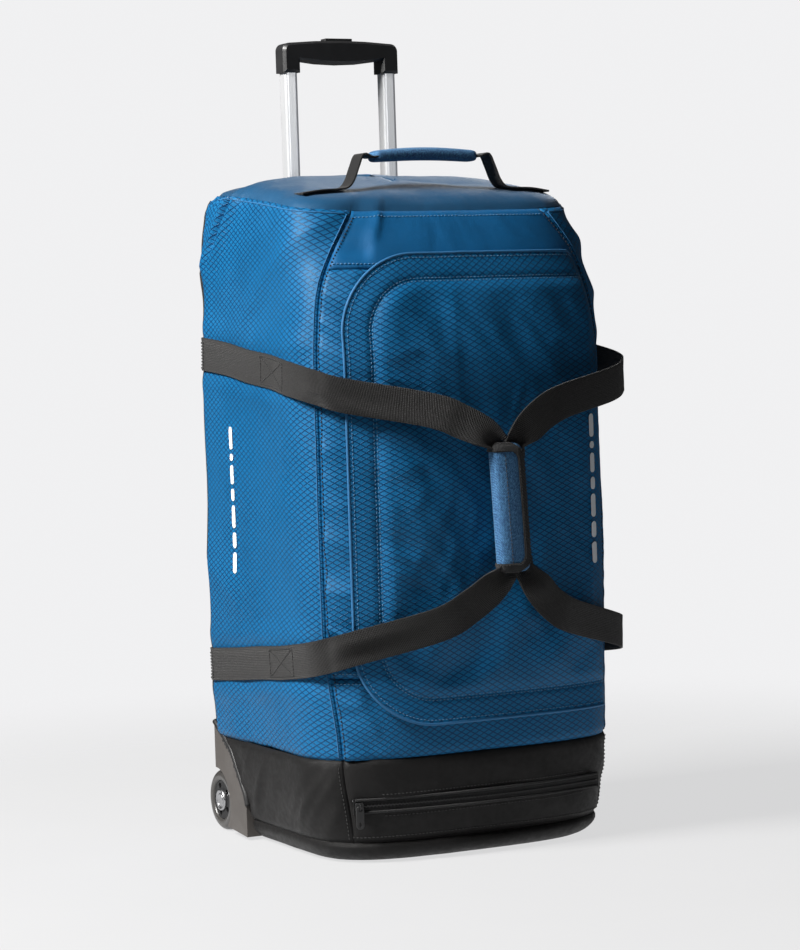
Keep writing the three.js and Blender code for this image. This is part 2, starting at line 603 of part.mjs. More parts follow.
function trolley() {
  for (const [name, side] of sides) {
    const x = side * TUBE.x;
    const outerTube = tube(OUTER_TUBE, x, TUBE.y, OUTER_TUBE.bottom, OUTER_TUBE.top - 1);
    add(`outer_tube_${name}`, "aluminium", outerTube);
    add(`trolley_tube_${name}`, "aluminium", tube(TUBE, x, TUBE.y, TUBE.bottom, TUBE.top));
    add(`push_rod_${name}`, "steel", rod(2, x, TUBE.y, TUBE.bottom + 18, GRIP.barBottom + 2));
    const block = cut(
      lockBody(x),
      box(x - 10, TUBE.y - 2, TUBE.bottom - 8, x + 10, TUBE.y + 2, TUBE.bottom - 4),
    );
    add(`lock_block_${name}`, "blackPlastic", block);
  }
  const shape = new THREE.Shape();
  const half = GRIP.width / 2;
  const inner = half - GRIP.legWidth;
  const corner = 9;
  shape.moveTo(-half, GRIP.bottom);
  shape.lineTo(-inner, GRIP.bottom);
  shape.lineTo(-inner, GRIP.barBottom);
  shape.quadraticCurveTo(0, GRIP.barBottom - 9, inner, GRIP.barBottom);
  shape.lineTo(inner, GRIP.bottom);
  shape.lineTo(half, GRIP.bottom);
  shape.lineTo(half, GRIP.top - corner - GRIP.arch);
  shape.absarc(half - corner, GRIP.top - corner - GRIP.arch, corner, 0, Math.PI / 2, false);
  shape.quadraticCurveTo(0, GRIP.top + GRIP.arch, -half + corner, GRIP.top - GRIP.arch);
  shape.absarc(-half + corner, GRIP.top - corner - GRIP.arch, corner, Math.PI / 2, Math.PI, false);
  const bevel = 4;
  const bar = new THREE.ExtrudeGeometry(shape, {
    depth: GRIP.depth - 2 * bevel, bevelEnabled: true, bevelThickness: bevel, bevelSize: 3,
    bevelOffset: -3, bevelSegments: 1, curveSegments: 4,
  });
  bar.rotateX(Math.PI / 2).translate(0, TUBE.y + GRIP.depth / 2 - bevel, 0);
  const sockets = sides.map(([, side]) => {
    const wide = roundedRect(TUBE.width + 0.7, TUBE.depth + 0.7, TUBE.corner + 0.3);
    const socket = new THREE.ExtrudeGeometry(wide, { depth: 40, bevelEnabled: false, curveSegments: 3 });
    return socket.translate(side * TUBE.x, TUBE.y, TUBE.top + 0.4 - 40);
  });
  const passages = sides.map(([, side]) => rod(2.6, side * TUBE.x, TUBE.y, 880, GRIP.barBottom + 7));
  const mouth = box(
    -BUTTON.width / 2 - 0.4, TUBE.y - BUTTON.depth / 2 - 0.4, GRIP.top - 8,
    BUTTON.width / 2 + 0.4, TUBE.y + BUTTON.depth / 2 + 0.4, GRIP.top + 20,
  );
  add("trolley_grip", "blackPlastic", cut(bar, mouth, ...sockets, ...passages));
  add("trolley_button", "blackPlastic", box(
    -BUTTON.width / 2, TUBE.y - BUTTON.depth / 2, GRIP.top - 3.6,
    BUTTON.width / 2, TUBE.y + BUTTON.depth / 2, GRIP.top + BUTTON.rise,
  ));
  const plate = new THREE.ExtrudeGeometry(roundedRect(BEZEL.width, BEZEL.depth, 8), {
    depth: BEZEL.top - BEZEL.bottom, bevelEnabled: false, curveSegments: 4,
  });
  const windows = sides.map(([, side]) => {
    const wide = roundedRect(TUBE.width + 1.6, TUBE.depth + 1.6, TUBE.corner + 0.6);
    const window = new THREE.ExtrudeGeometry(wide, { depth: 60, bevelEnabled: false, curveSegments: 3 });
    return window.translate(side * TUBE.x, TUBE.y, BEZEL.bottom - 20);
  });
  plate.translate(0, TUBE.y, BEZEL.bottom);
  add("handle_bezel", "blackPlastic", cut(plate, ...windows));
  add("tube_foot", "blackPlastic", box(-82, 144.3, 44, 82, 168, OUTER_TUBE.bottom - 0.4));
}

// A carry strap from the back edge, along the side, round the front corner and across to the grip.
function carryStrap(name, side, route, turnIn) {
  const onWall = route.map(([place, z, lift]) => {
    const at = wallPoint(-place, z);
    const ahead = wallPoint(-place + 1e-3, z).sub(wallPoint(-place - 1e-3, z));
    const out = ahead.cross(new THREE.Vector3(0, 0, 1)).normalize();
    return { at: at.addScaledVector(out, lift), across: new THREE.Vector3(0, 0, 1), out };
  });
  const frames = [...onWall, ...turnIn.map(([x, y, z, lean]) => ({
    at: new THREE.Vector3(x, y, z),
    across: new THREE.Vector3(lean, 0, 1),
    out: new THREE.Vector3(0, -1, 0),
  }))];
  add(name, "webbing", onSide(side, ribbon(frames, WEBBING.width, WEBBING.thick)));
}

function carryStraps() {
  const rest = 2.2;
  const upper = [[0.9, 560, rest], [0.8, 555, rest], [0.7, 547, rest], [0.6, 541, rest],
    [0.52, 535, 4], [0.46, 529, 9], [0.42, 523, 14], [0.37, 514, 16]];
  const lower = [[0.9, 201, rest], [0.8, 206, rest], [0.7, 212, rest], [0.6, 217, rest],
    [0.52, 222, 4], [0.46, 227, 9], [0.42, 232, 14], [0.37, 240, 16]];
  const wide = (row, extra) => row.map(([place, z, lift]) =>
    [place, z, place < 0.8 ? lift + extra : lift + extra / 3]);
  carryStrap("strap_upper_left", -1, upper, [[-70, -192, 495, -0.35], [-32, -199, 481, -0.5]]);
  carryStrap("strap_lower_left", -1, lower, [[-70, -192, 262, 0.35], [-32, -199, 282, 0.5]]);
  carryStrap("strap_upper_right", 1, wide(upper, 17), [[-90, -200, 497, -0.4], [-56, -203, 484, -0.6]]);
  carryStrap("strap_lower_right", 1, wide(lower, 8), [[-90, -198, 262, 0.4], [-56, -203, 280, 0.6]]);
  const grip = new THREE.ExtrudeGeometry(roundedRect(WRAP.width, WRAP.depth, 8), {
    depth: WRAP.top - WRAP.bottom, bevelEnabled: false, curveSegments: 4,
  });
  add("handle_wrap", "twill", grip.translate(WRAP.x, WRAP.y, WRAP.bottom));
}

function grabHandle() {
  const up = new THREE.Vector3(0, 1, 0);
  const frame = (x, z, tilt) => ({
    at: new THREE.Vector3(x, GRAB.y, z),
    across: up,
    out: new THREE.Vector3(-tilt, 0, 1),
  });
  const rise = [
    [-156, 5.5, 0], [-134, 5.5, -0.1], [-108, 5.5, -0.1], [-93, 8, -0.3], [-86, 16, -1.2], [-80, 30, -2.5],
    [-75, 40, -1.4], [-GRAB.sleeve - 0.6, GRAB.rise - topZ(GRAB.sleeve, GRAB.y), -0.3],
  ];
  for (const [name, side] of sides) {
    const frames = rise.map(([x, lift, tilt]) => frame(x, topZ(x, GRAB.y) + lift, -tilt));
    add(`grab_strap_${name}`, "webbing", onSide(side, ribbon(frames, GRAB.width, GRAB.thick)));
  }
  const shape = roundedRect(GRAB.width + 3, 11, 5);
  const sleeve = new THREE.ExtrudeGeometry(shape, {
    depth: 2 * GRAB.sleeve, bevelEnabled: false, curveSegments: 4,
  });
  sleeve.rotateZ(Math.PI / 2).rotateY(Math.PI / 2).translate(-GRAB.sleeve, GRAB.y, GRAB.rise);
  add("grab_sleeve", "twill", sleeve);
}

sidePanels();
frontPanels();
mainZipSlider();
topPanel();
baseParts();
pocketZip();
backParts();
for (const [name, side] of sides) {
  wheelHousing(name, side);
  wheel(name, side);
}
trolley();
carryStraps();
grabHandle();

export default bag;
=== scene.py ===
"""Looks of the rolling duffel bag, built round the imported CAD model. Metres, +Z up, front towards -Y."""

import math

import bpy
import bmesh
import numpy as np
from mathutils import Matrix, Vector
from mathutils.bvhtree import BVHTree

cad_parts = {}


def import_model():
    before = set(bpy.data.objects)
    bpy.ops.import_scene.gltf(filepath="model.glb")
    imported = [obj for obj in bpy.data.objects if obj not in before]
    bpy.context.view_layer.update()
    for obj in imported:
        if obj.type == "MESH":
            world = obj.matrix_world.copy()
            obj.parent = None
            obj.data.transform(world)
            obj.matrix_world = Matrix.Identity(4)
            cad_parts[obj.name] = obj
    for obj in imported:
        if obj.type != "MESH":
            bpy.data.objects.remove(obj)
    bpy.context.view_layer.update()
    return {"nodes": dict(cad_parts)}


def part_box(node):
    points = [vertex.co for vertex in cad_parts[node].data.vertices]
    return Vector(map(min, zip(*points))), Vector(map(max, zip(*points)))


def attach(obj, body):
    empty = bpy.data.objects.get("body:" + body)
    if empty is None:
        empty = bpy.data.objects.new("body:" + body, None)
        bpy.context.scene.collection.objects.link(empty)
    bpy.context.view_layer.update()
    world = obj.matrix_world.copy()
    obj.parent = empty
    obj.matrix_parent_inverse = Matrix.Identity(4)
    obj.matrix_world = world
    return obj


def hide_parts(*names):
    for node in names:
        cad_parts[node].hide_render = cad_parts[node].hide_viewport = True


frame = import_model()
MM = 0.001
TINY = 1e-12
SIDES = (("left", -1), ("right", 1))

# ------------------------------------------------- dimensions, from the frame where it has them
side_low, side_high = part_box("side_panel_right")
lid_low, lid_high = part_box("lid_flap")
HALF_WIDTH = side_high.x
BACK_Y = side_high.y
BASE_SEAM_Z = side_low.z
CORNER_CENTRE_Y = -40 * MM
FRONT_REACH = 120 * MM
CORNER_POWER = 3.5
BACK_CORNER_RADIUS = 22 * MM
TOP_FRONT_REACH = 63 * MM
TOP_HALF_WIDTH = 172 * MM
TOP_CORNER_POWER = 4.2
TOP_FRONT_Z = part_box("front_yoke")[1].z
TOP_RISE = 30 * MM
TOP_RISE_POWER = 1.6
TOP_DOME = 20 * MM
TOP_DOME_MIDDLE_Y = 60 * MM
TOP_DOME_REACH = 160 * MM
SHOULDER_HEIGHT = 210 * MM
LOWER_SEAM_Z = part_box("base_front")[0].z
BASE_TAPER = 8 * MM
PILLOW_INSET = 26 * MM
PILLOW_SWELL = 9 * MM
# Places round the outline: 0 is the middle of the front, 1 the right back edge.
FRONT_SEAM = 0.43
CORNER_END = 0.6
BACK_CORNER_START = 0.92
SIDE_PANEL_END = 0.968
BINDING_PLACE = 0.972
LID_TUCK_END = -0.3
YOKE_SEAM_Z = 650 * MM
LOWER_FRONT_SEAM_Z = 205 * MM
LID_CORNER = 87 * MM
LID_LIFT = 8 * MM
LID_STITCH = 28 * MM
LID_OVERLAP = 15 * MM
WEBBING_WIDTH = 38 * MM
GRAB_WIDTH = 25 * MM
COLUMNS_ACROSS = 9
ROW_STEP = 2.5 * MM
SEWN_LIFT = 0.15 * MM
HOUSING_MARGIN = 1 * MM
# Swelling of the sides in millimetres, by height in metres.
RIGHT_SWELL = (0.03, 0.115, 0.2, 0.3, 0.62, 0.67, 0.705, 0.74), (0, 5, 6, 8.5, 9, 8, 4, 1)
LEFT_SWELL = (0.115, 0.2, 0.3, 0.5, 0.6, 0.66, 0.70, 0.74), (0, 4.5, 5, 3.5, 1, 1.5, 4, 4)

# ---------------------------------------------------------------- small maths


def mix(a, b, t):
    return a + (b - a) * t


def ramp(t):
    """Smooth step from 0 to 1."""
    t = np.clip(t, 0.0, 1.0)
    return t * t * (3 - 2 * t)


def bump_at(x, centre, width):
    return np.exp(-(((x - centre) / width) ** 2))


def unit(vectors):
    return vectors / np.maximum(np.linalg.norm(vectors, axis=-1, keepdims=True), TINY)


def run_length(path):
    """Distance along a path at each of its points."""
    return np.r_[0, np.cumsum(np.linalg.norm(np.diff(path, axis=0), axis=1))]


def on_path(path, marks):
    """Rows of a path at these distances along its first three columns."""
    length = run_length(path[:, :3])
    return np.stack([np.interp(marks, length, path[:, k]) for k in range(path.shape[1])], -1)


def resample(path, spacing):
    path = np.asarray(path, float)
    return on_path(path, np.arange(0, run_length(path[:, :3])[-1], spacing))


def catmull(points, spacing):
    """A smooth line through points, at an even spacing. Rows of points may hold more columns than three."""
    points = np.asarray(points, float)
    ext = np.vstack([2 * points[0] - points[1], points, 2 * points[-1] - points[-2]])
    out = []
    for k in range(1, len(ext) - 2):
        a, b, c, d = ext[k - 1:k + 3]
        t = np.linspace(0, 1, 24, endpoint=False)[:, None]
        square = (2 * a - 5 * b + 4 * c - d) * t ** 2
        out.append(0.5 * (2 * b + (c - a) * t + square + (3 * b - a - 3 * c + d) * t ** 3))
    line = np.vstack(out + [points[-1:]])
    whole = run_length(line[:, :3])[-1]
    return on_path(line, np.linspace(0, whole, max(2, int(whole / spacing))))


def lattice(i, j):
    """A number from 0 to 1 for each point of a grid, the same on every run."""
    v = np.sin(i * 127.1 + j * 311.7) * 43758.5453
    return v - np.floor(v)


def noise2(x, y):
    """Value noise from -0.5 to 0.5."""
    x, y = np.broadcast_arrays(np.asarray(x, float), np.asarray(y, float))
    i, j = np.floor(x), np.floor(y)
    u, v = x - i, y - j
    u, v = u * u * (3 - 2 * u), v * v * (3 - 2 * v)
    low = lattice(i, j) * (1 - u) + lattice(i + 1, j) * u
    high = lattice(i, j + 1) * (1 - u) + lattice(i + 1, j + 1) * u
    return low * (1 - v) + high * v - 0.5


def folds(x, y):
    """Two octaves of noise."""
    return noise2(x, y) + 0.5 * noise2(2.1 * x + 7.3, 2.1 * y + 1.9)


def crease(x, y):
    """Noise with sharp ridges and round valleys, like folded cloth."""
    return 0.5 - 2 * np.abs(noise2(x, y))


def layered(kind, layers, along, up):
    """Layers of folds or creases. Each is a height in mm, two sizes in metres and the noise's two shifts."""
    return sum(height * MM * kind(along / wide + shift_along, up / tall + shift_up)
               for height, wide, tall, shift_along, shift_up in layers)


# ---------------------------------------------------------------- the bag's surface


def plan(place, reach, half_width, power):
    """Outline of the body from above. place is -1 at the left back edge and 0 in the middle of the front."""
    place = np.asarray(place, float)
    side = np.where(place < 0, -1.0, 1.0)
    along = np.abs(place)
    angle = np.minimum(along / CORNER_END, 1) * math.pi / 2
    distance = ((np.cos(angle) / reach) ** power + (np.sin(angle) / half_width) ** power) ** (-1 / power)
    x = distance * np.sin(angle)
    y = CORNER_CENTRE_Y - distance * np.cos(angle)
    corner_y = BACK_Y - BACK_CORNER_RADIUS
    straight = np.clip((along - CORNER_END) / (BACK_CORNER_START - CORNER_END), 0, 1)
    x = np.where(along > CORNER_END, half_width, x)
    y = np.where(along > CORNER_END, mix(CORNER_CENTRE_Y, corner_y, straight), y)
    turn = np.clip((along - BACK_CORNER_START) / (1 - BACK_CORNER_START), 0, 1) * math.pi / 2
    round_x = half_width - BACK_CORNER_RADIUS * (1 - np.cos(turn))
    x = np.where(along > BACK_CORNER_START, round_x, x)
    y = np.where(along > BACK_CORNER_START, corner_y + BACK_CORNER_RADIUS * np.sin(turn), y)
    return side * x, y


def belly(place):
    return plan(place, FRONT_REACH, HALF_WIDTH, CORNER_POWER)


def shoulder(place):
    return plan(place, TOP_FRONT_REACH, TOP_HALF_WIDTH, TOP_CORNER_POWER)


def shoulder_height(y):
    depth = BACK_Y - CORNER_CENTRE_Y + TOP_FRONT_REACH
    return TOP_FRONT_Z + TOP_RISE * (1 - np.clip((BACK_Y - y) / depth, 0, 1) ** TOP_RISE_POWER)


def shoulder_z(place):
    return shoulder_height(shoulder(place)[1])


# Distance along the outline from the middle of the front, by place, at the belly.
_places = np.linspace(-1, 1, 2001)
_steps = run_length(np.stack(belly(_places), -1))
_steps -= _steps[1000]
HALF_OUTLINE = _steps[-1]


def arc(place):
    return np.interp(place, _places, _steps)


def place_of(run):
    """The place that lies run metres along the outline."""
    return np.interp(run, _steps, _places)


SEAM_ARC = float(arc(FRONT_SEAM))


def side_bulge(place, z):
    """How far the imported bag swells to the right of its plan; to the left where it is negative."""
    right = np.interp(z, RIGHT_SWELL[0], RIGHT_SWELL[1]) * MM
    left = np.interp(z, LEFT_SWELL[0], LEFT_SWELL[1]) * MM
    right = right * ramp((place - 0.22) / 0.2) * ramp((0.98 - place) / 0.35)
    return right - left * ramp((-0.62 - place) / 0.3)


def wall(place, z):
    """Points of the wall above the base seam, smooth, with no folds."""
    bx, by = belly(place)
    tx, ty = shoulder(place)
    lean = np.clip(1 - (shoulder_z(place) - z) / SHOULDER_HEIGHT, 0, 1) ** 3
    x = mix(bx, tx, lean) + side_bulge(place, z)
    return np.stack([x, mix(by, ty, lean), np.broadcast_to(z, lean.shape)], -1)


def base_smooth(place, z):
    """Points of the base band, and of the pillow that rolls under it, smooth, with no folds."""
    x, y = belly(place)
    z = np.asarray(z, float)
    drop = np.clip((BASE_SEAM_Z - z) / (BASE_SEAM_Z - LOWER_SEAM_Z), 0, 1)
    roll = np.clip(1 - z / LOWER_SEAM_Z, 0, 1)
    inset = BASE_TAPER * drop * drop + PILLOW_INSET * (1 - np.sqrt(np.maximum(1 - roll * roll, 0)))
    scale = 1 - inset / HALF_WIDTH
    forward = PILLOW_SWELL * roll * (1 - roll) * 4 * ramp(1 - np.abs(place) / 0.5)
    return np.stack(np.broadcast_arrays(x * scale + side_bulge(place, z), y * scale - forward, z), -1)


def normal_of(surface, place, z):
    """Outward normals of a surface of places and heights."""
    place_step, z_step = 1e-3, 0.5 * MM
    across = surface(place + place_step, z) - surface(place - place_step, z)
    up = surface(place, z + z_step) - surface(place, z - z_step)
    return unit(np.cross(across, up))


def wall_normal(place, z):
    return normal_of(wall, place, z)


# ---------------------------------------------------------------- meshes


def new_object(name, verts, faces, material, body, smooth=True):
    mesh = bpy.data.meshes.new(name)
    mesh.from_pydata([tuple(map(float, v)) for v in verts], [], faces)
    mesh.update()
    mesh.polygons.foreach_set("use_smooth", [smooth] * len(mesh.polygons))
    mesh.materials.append(material)
    obj = bpy.data.objects.new(name, mesh)
    bpy.context.scene.collection.objects.link(obj)
    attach(obj, body)
    return obj


def move_points(obj, points):
    obj.data.vertices.foreach_set("co", points.astype(np.float32).ravel())
    obj.data.update()


def points_of(obj):
    return np.array([v.co for v in obj.data.vertices])


def grid_faces(rows, columns, closed=False):
    faces = []
    last = columns if closed else columns - 1
    for r in range(rows - 1):
        for c in range(last):
            d = (c + 1) % columns
            faces.append((r * columns + c, r * columns + d, (r + 1) * columns + d, (r + 1) * columns + c))
    return faces


def tube_faces(rows, sides):
    """Faces of a tube of rings, with its two end caps."""
    ends = [tuple(range(sides)), tuple(range(rows * sides - 1, (rows - 1) * sides - 1, -1))]
    return grid_faces(rows, sides, closed=True) + ends


def fix_normals(obj):
    bm = bmesh.new()
    bm.from_mesh(obj.data)
    bmesh.ops.recalc_face_normals(bm, faces=bm.faces)
    bm.to_mesh(obj.data)
    bm.free()


def cut_away(obj, gone):
    """Removes the faces whose points are all marked as gone."""
    bm = bmesh.new()
    bm.from_mesh(obj.data)
    bm.verts.ensure_lookup_table()
    dead = [f for f in bm.faces if all(gone[v.index] for v in f.verts)]
    bmesh.ops.delete(bm, geom=dead, context="FACES")
    bmesh.ops.delete(bm, geom=[v for v in bm.verts if not v.link_faces], context="VERTS")
    bm.to_mesh(obj.data)
    bm.free()


def set_uv(obj, uv):
    """Cloth coordinates in metres, one pair for each vertex."""
    mesh = obj.data
    layer = mesh.uv_layers.new(name="cloth")
    loops = np.empty(len(mesh.loops), np.int32)
    mesh.loops.foreach_get("vertex_index", loops)
    layer.data.foreach_set("uv", np.asarray(uv, np.float32)[loops].ravel())


def uv_from_front(obj):
    """Cloth coordinates that are X and Z, for small pieces."""
    set_uv(obj, points_of(obj)[:, (0, 2)])


def sheet_object(name, points, uv, material, thickness=1.4 * MM, closed=False):
    """A fabric sheet on a grid of points, with real thickness behind it."""
    rows, columns = points.shape[:2]
    obj = new_object(name, points.reshape(-1, 3), grid_faces(rows, columns, closed), material, "bag")
    set_uv(obj, uv.reshape(-1, 2))
    solid = obj.modifiers.new("thickness", "SOLIDIFY")
    solid.thickness = thickness
    solid.offset = -1
    return obj


def tube_object(name, path, radius, material, body="bag", sides=8):
    """A round cord along points."""
    path = np.asarray(path, float)
    tangent = unit(np.gradient(path, axis=0))
    upright = abs(tangent[:, 2]).mean() >= 0.7
    side = unit(np.cross(tangent, (0.1, 1, 0.05) if upright else (0.31, 0.12, 0.94)))
    out = np.cross(side, tangent)
    turn = np.linspace(0, 2 * math.pi, sides, endpoint=False)[None, :, None]
    ring = path[:, None, :] + radius * (np.cos(turn) * side[:, None] + np.sin(turn) * out[:, None])
    obj = new_object(name, ring.reshape(-1, 3), tube_faces(len(path), sides), material, body)
    around = np.linspace(0, 1, sides)[None, :] * 2 * math.pi * radius
    set_uv(obj, np.stack(np.broadcast_arrays(run_length(path)[:, None], around), -1).reshape(-1, 2))
    fix_normals(obj)
    return obj


# Rings of one stitch: distance along it as a share of its length, then size and rise as shares of its radius.
STITCH_RINGS = ((-0.5, 0.25, -0.5), (-0.34, 0.95, 0.35), (0.0, 1.0, 0.6),
                (0.34, 0.95, 0.35), (0.5, 0.25, -0.5))
STITCH_SIDES = 5


def stitches(path, out, material, pitch=4.4 * MM, radius=0.5 * MM, stitch=2.6 * MM):
    """A row of thread stitches along a path, as one mesh of small rounded bars. out is the surface normal."""
    path = np.asarray(path, float)
    out = np.broadcast_to(np.asarray(out, float), path.shape)
    both = resample(np.hstack([path, out]), pitch)
    centre, normal = both[:, :3], unit(both[:, 3:])
    tangent = unit(np.gradient(centre, axis=0))
    side = np.cross(tangent, normal)
    turns = [2 * math.pi * s / STITCH_SIDES for s in range(STITCH_SIDES)]
    one = tube_faces(len(STITCH_RINGS), STITCH_SIDES)
    verts, faces = [], []
    for k in range(len(centre)):
        base = len(verts)
        for along, fat, rise in STITCH_RINGS:
            middle = centre[k] + tangent[k] * (along * stitch) + normal[k] * (rise * radius)
            size = radius * fat
            verts += [middle + size * (math.cos(a) * side[k] + math.sin(a) * normal[k]) for a in turns]
        faces += [tuple(base + i for i in f) for f in one]
    obj = new_object("row", verts, faces, material, "bag")
    fix_normals(obj)
    return obj


def join_objects(name, objects):
    """Several meshes as one piece, on the first one's body."""
    first = objects[0]
    with bpy.context.temp_override(active_object=first, object=first, selected_objects=objects,
                                   selected_editable_objects=objects):
        bpy.ops.object.join()
    first.name = name
    return first


def caster(obj):
    """Finds points on the skin of a piece by looking at it from outside."""
    tree = BVHTree.FromObject(obj, bpy.context.evaluated_depsgraph_get())

    def find(outside, target, lift):
        hit, normal, _, _ = tree.ray_cast(outside, (target - outside).normalized())
        if hit is None:
            hit, normal, _, _ = tree.find_nearest(target)
        return np.array(hit + normal * lift), np.array(normal)
    return find


# ---------------------------------------------------------------- materials


class Shader:
    """One procedural material. Numbers that are the same all over are set on the shader's own sockets."""

    def __init__(self, name, **values):
        self.material = bpy.data.materials.new(name)
        self.material.use_nodes = True
        self.tree = self.material.node_tree
        self.tree.nodes.clear()
        self.surface = self.node("BsdfPrincipled")
        output = self.node("OutputMaterial")
        self.tree.links.new(self.surface.outputs[0], output.inputs[0])
        self.set(**values)

    def node(self, kind, inputs=None, **settings):
        made = self.tree.nodes.new("ShaderNode" + kind)
        for key, value in settings.items():
            setattr(made, key, value)
        for key, value in (inputs or {}).items():
            self.feed(made.inputs[key], value)
        return made

    def feed(self, socket, value):
        if isinstance(value, bpy.types.NodeSocket):
            self.tree.links.new(value, socket)
        else:
            socket.default_value = value

    def set(self, **values):
        for key, value in values.items():
            self.feed(self.surface.inputs[key.replace("_", " ")], value)

    def math(self, operation, *values):
        return self.node("Math", dict(enumerate(values)), operation=operation).outputs[0]

    def ramp(self, value, low, high, to_low=0.0, to_high=1.0):
        return self.node("MapRange", {0: value, 1: low, 2: high, 3: to_low, 4: to_high},
                         interpolation_type="SMOOTHSTEP").outputs[0]

    def mix(self, share, a, b):
        mixed = self.node("Mix", {0: share}, data_type="RGBA")
        self.feed(mixed.inputs[6], a)
        self.feed(mixed.inputs[7], b)
        return mixed.outputs[2]

    def place(self):
        return self.node("TexCoord").outputs["Object"]

    def noise(self, scale, detail=2.0, rough=0.5, stretch=(1, 1, 1)):
        place = self.place()
        if stretch != (1, 1, 1):
            place = self.node("Mapping", {"Vector": place, "Scale": stretch}).outputs[0]
        return self.node("TexNoise", {"Vector": place, "Scale": scale, "Detail": detail,
                                      "Roughness": rough}).outputs[0]

    def cloth(self):
        """The cloth coordinates, in metres: along the first, across the second."""
        uv = self.node("UVMap", uv_map="cloth").outputs[0]
        parts = self.node("SeparateXYZ", {0: uv}).outputs
        return parts[0], parts[1]

    def wave(self, value, pitch):
        """Waves of a value, from -1 to 1."""
        return self.math("SINE", self.math("MULTIPLY", value, 2 * math.pi / pitch))

    def weave(self, pitch):
        """Warp and weft in the cloth coordinates."""
        u, v = self.cloth()
        return self.math("MULTIPLY", self.wave(u, pitch), self.wave(v, pitch))

    def lines(self, value, width):
        """1 on lines that come at each whole number of value, 0 between them. width is a share of the gap."""
        cell = self.math("PINGPONG", value, 0.5)
        return self.ramp(cell, width * 0.25, width * 0.5, 1.0, 0.0)

    def bump(self, height, depth, under=None):
        inputs = {"Height": height, "Strength": 1.0, "Distance": depth}
        if under is not None:
            inputs["Normal"] = under
        return self.node("Bump", inputs).outputs[0]

    def soiled(self, base, share, dark, scale):
        """Colour with slow variation, as on handled cloth and moulded parts."""
        spots = self.ramp(self.noise(scale, 4.0, 0.6), 0.35, 0.75, 0.0, share * 4)
        return self.mix(spots, base, darker(base, dark))


def colour(r, g, b):
    """Linear colour from sRGB bytes."""
    def channel(c):
        c /= 255
        return c / 12.92 if c <= 0.04045 else ((c + 0.055) / 1.055) ** 2.4
    return (channel(r), channel(g), channel(b), 1.0)


def darker(base, share):
    return tuple(c * share for c in base[:3]) + (1.0,)


BLUE_GLOSS = (0.55, 0.80, 1.0, 1.0)
PALE_BLUE_GLOSS = (0.6, 0.8, 1.0, 1.0)
DIAMOND_WIDTH = 11.4 * MM
DIAMOND_HEIGHT = 6.4 * MM
DIAMOND_LINE = 0.26


def ripstop_material():
    """Coated cloth with a grid of diamonds. The grid is real ripstop, and the dark colour of its lines is
    painted shade of the raised threads.
    """
    s = Shader("ripstop", Specular_IOR_Level=0.40, Specular_Tint=BLUE_GLOSS, Sheen_Weight=0.03,
               Sheen_Roughness=0.4, Sheen_Tint=colour(150, 190, 225))
    u, v = s.cloth()
    across, up = s.math("DIVIDE", u, DIAMOND_WIDTH), s.math("DIVIDE", v, DIAMOND_HEIGHT)
    rising, falling = (s.lines(s.math(way, across, up), DIAMOND_LINE) for way in ("ADD", "SUBTRACT"))
    thread = s.math("MAXIMUM", rising, falling)
    base = s.soiled(colour(8, 95, 144), 0.10, 0.66, 14.0)
    # Painted shade: the grid lines are coloured darker than the cloth to stand for the shade beside the
    # raised threads.
    s.set(Base_Color=s.mix(s.math("MULTIPLY", thread, 0.86), base, colour(4, 40, 78)))
    grain = s.math("MULTIPLY", s.noise(900.0, 1.0), 0.1)
    worn = s.ramp(s.noise(11.0, 3.0), 0.38, 0.62, -0.05, 0.07)
    s.set(Roughness=s.math("ADD", s.ramp(thread, 0, 1, 0.52, 0.34), s.math("ADD", grain, worn)))
    s.set(Normal=s.bump(thread, 0.28 * MM, s.bump(s.weave(0.8 * MM), 0.03 * MM)))
    return s.material


def plain_material(name, base, rough=0.5, sheen=0.05):
    """Close-woven cloth with no grid."""
    s = Shader(name, Specular_IOR_Level=0.35, Specular_Tint=PALE_BLUE_GLOSS, Sheen_Weight=sheen,
               Sheen_Roughness=0.3, Sheen_Tint=colour(190, 200, 215))
    s.set(Base_Color=s.soiled(base, 0.10, 0.7, 16.0))
    s.set(Roughness=s.ramp(s.noise(220.0, 2.0), 0.3, 0.7, rough - 0.05, rough + 0.08))
    s.set(Normal=s.bump(s.noise(420.0, 2.0), 0.10 * MM, s.bump(s.weave(1.1 * MM), 0.05 * MM)))
    return s.material


def base_material():
    """Heavy black coated cloth."""
    s = Shader("base_fabric", Specular_IOR_Level=0.24, Sheen_Weight=0.03, Sheen_Roughness=0.5)
    s.set(Base_Color=s.soiled(colour(19, 18, 18), 0.2, 0.6, 22.0))
    s.set(Roughness=s.ramp(s.noise(160.0, 3.0), 0.3, 0.7, 0.5, 0.64))
    s.set(Normal=s.bump(s.noise(300.0, 3.0), 0.14 * MM, s.bump(s.weave(1.3 * MM), 0.07 * MM)))
    return s.material


def webbing_material(name, base, rib=1.8 * MM):
    """Ribbed webbing: slanting ribs across the strap, with fine cords along it."""
    s = Shader(name, Specular_IOR_Level=0.3, Sheen_Weight=0.16, Sheen_Roughness=0.4,
               Sheen_Tint=colour(200, 200, 200))
    u, v = s.cloth()
    ribs = s.wave(s.math("ADD", u, s.math("MULTIPLY", v, 0.22)), rib)
    cords = s.wave(v, 1.9 * MM)
    ribs = s.math("ADD", ribs, s.math("MULTIPLY", cords, 0.3))
    tone = s.soiled(base, 0.10, 0.7, 25.0)
    s.set(Base_Color=s.mix(s.ramp(ribs, -0.6, 0.7, 0.8, 0.0), tone, darker(base, 0.42)))
    s.set(Roughness=s.ramp(s.noise(500.0, 2.0), 0.3, 0.7, 0.6, 0.78))
    s.set(Normal=s.bump(ribs, 0.3 * MM))
    return s.material


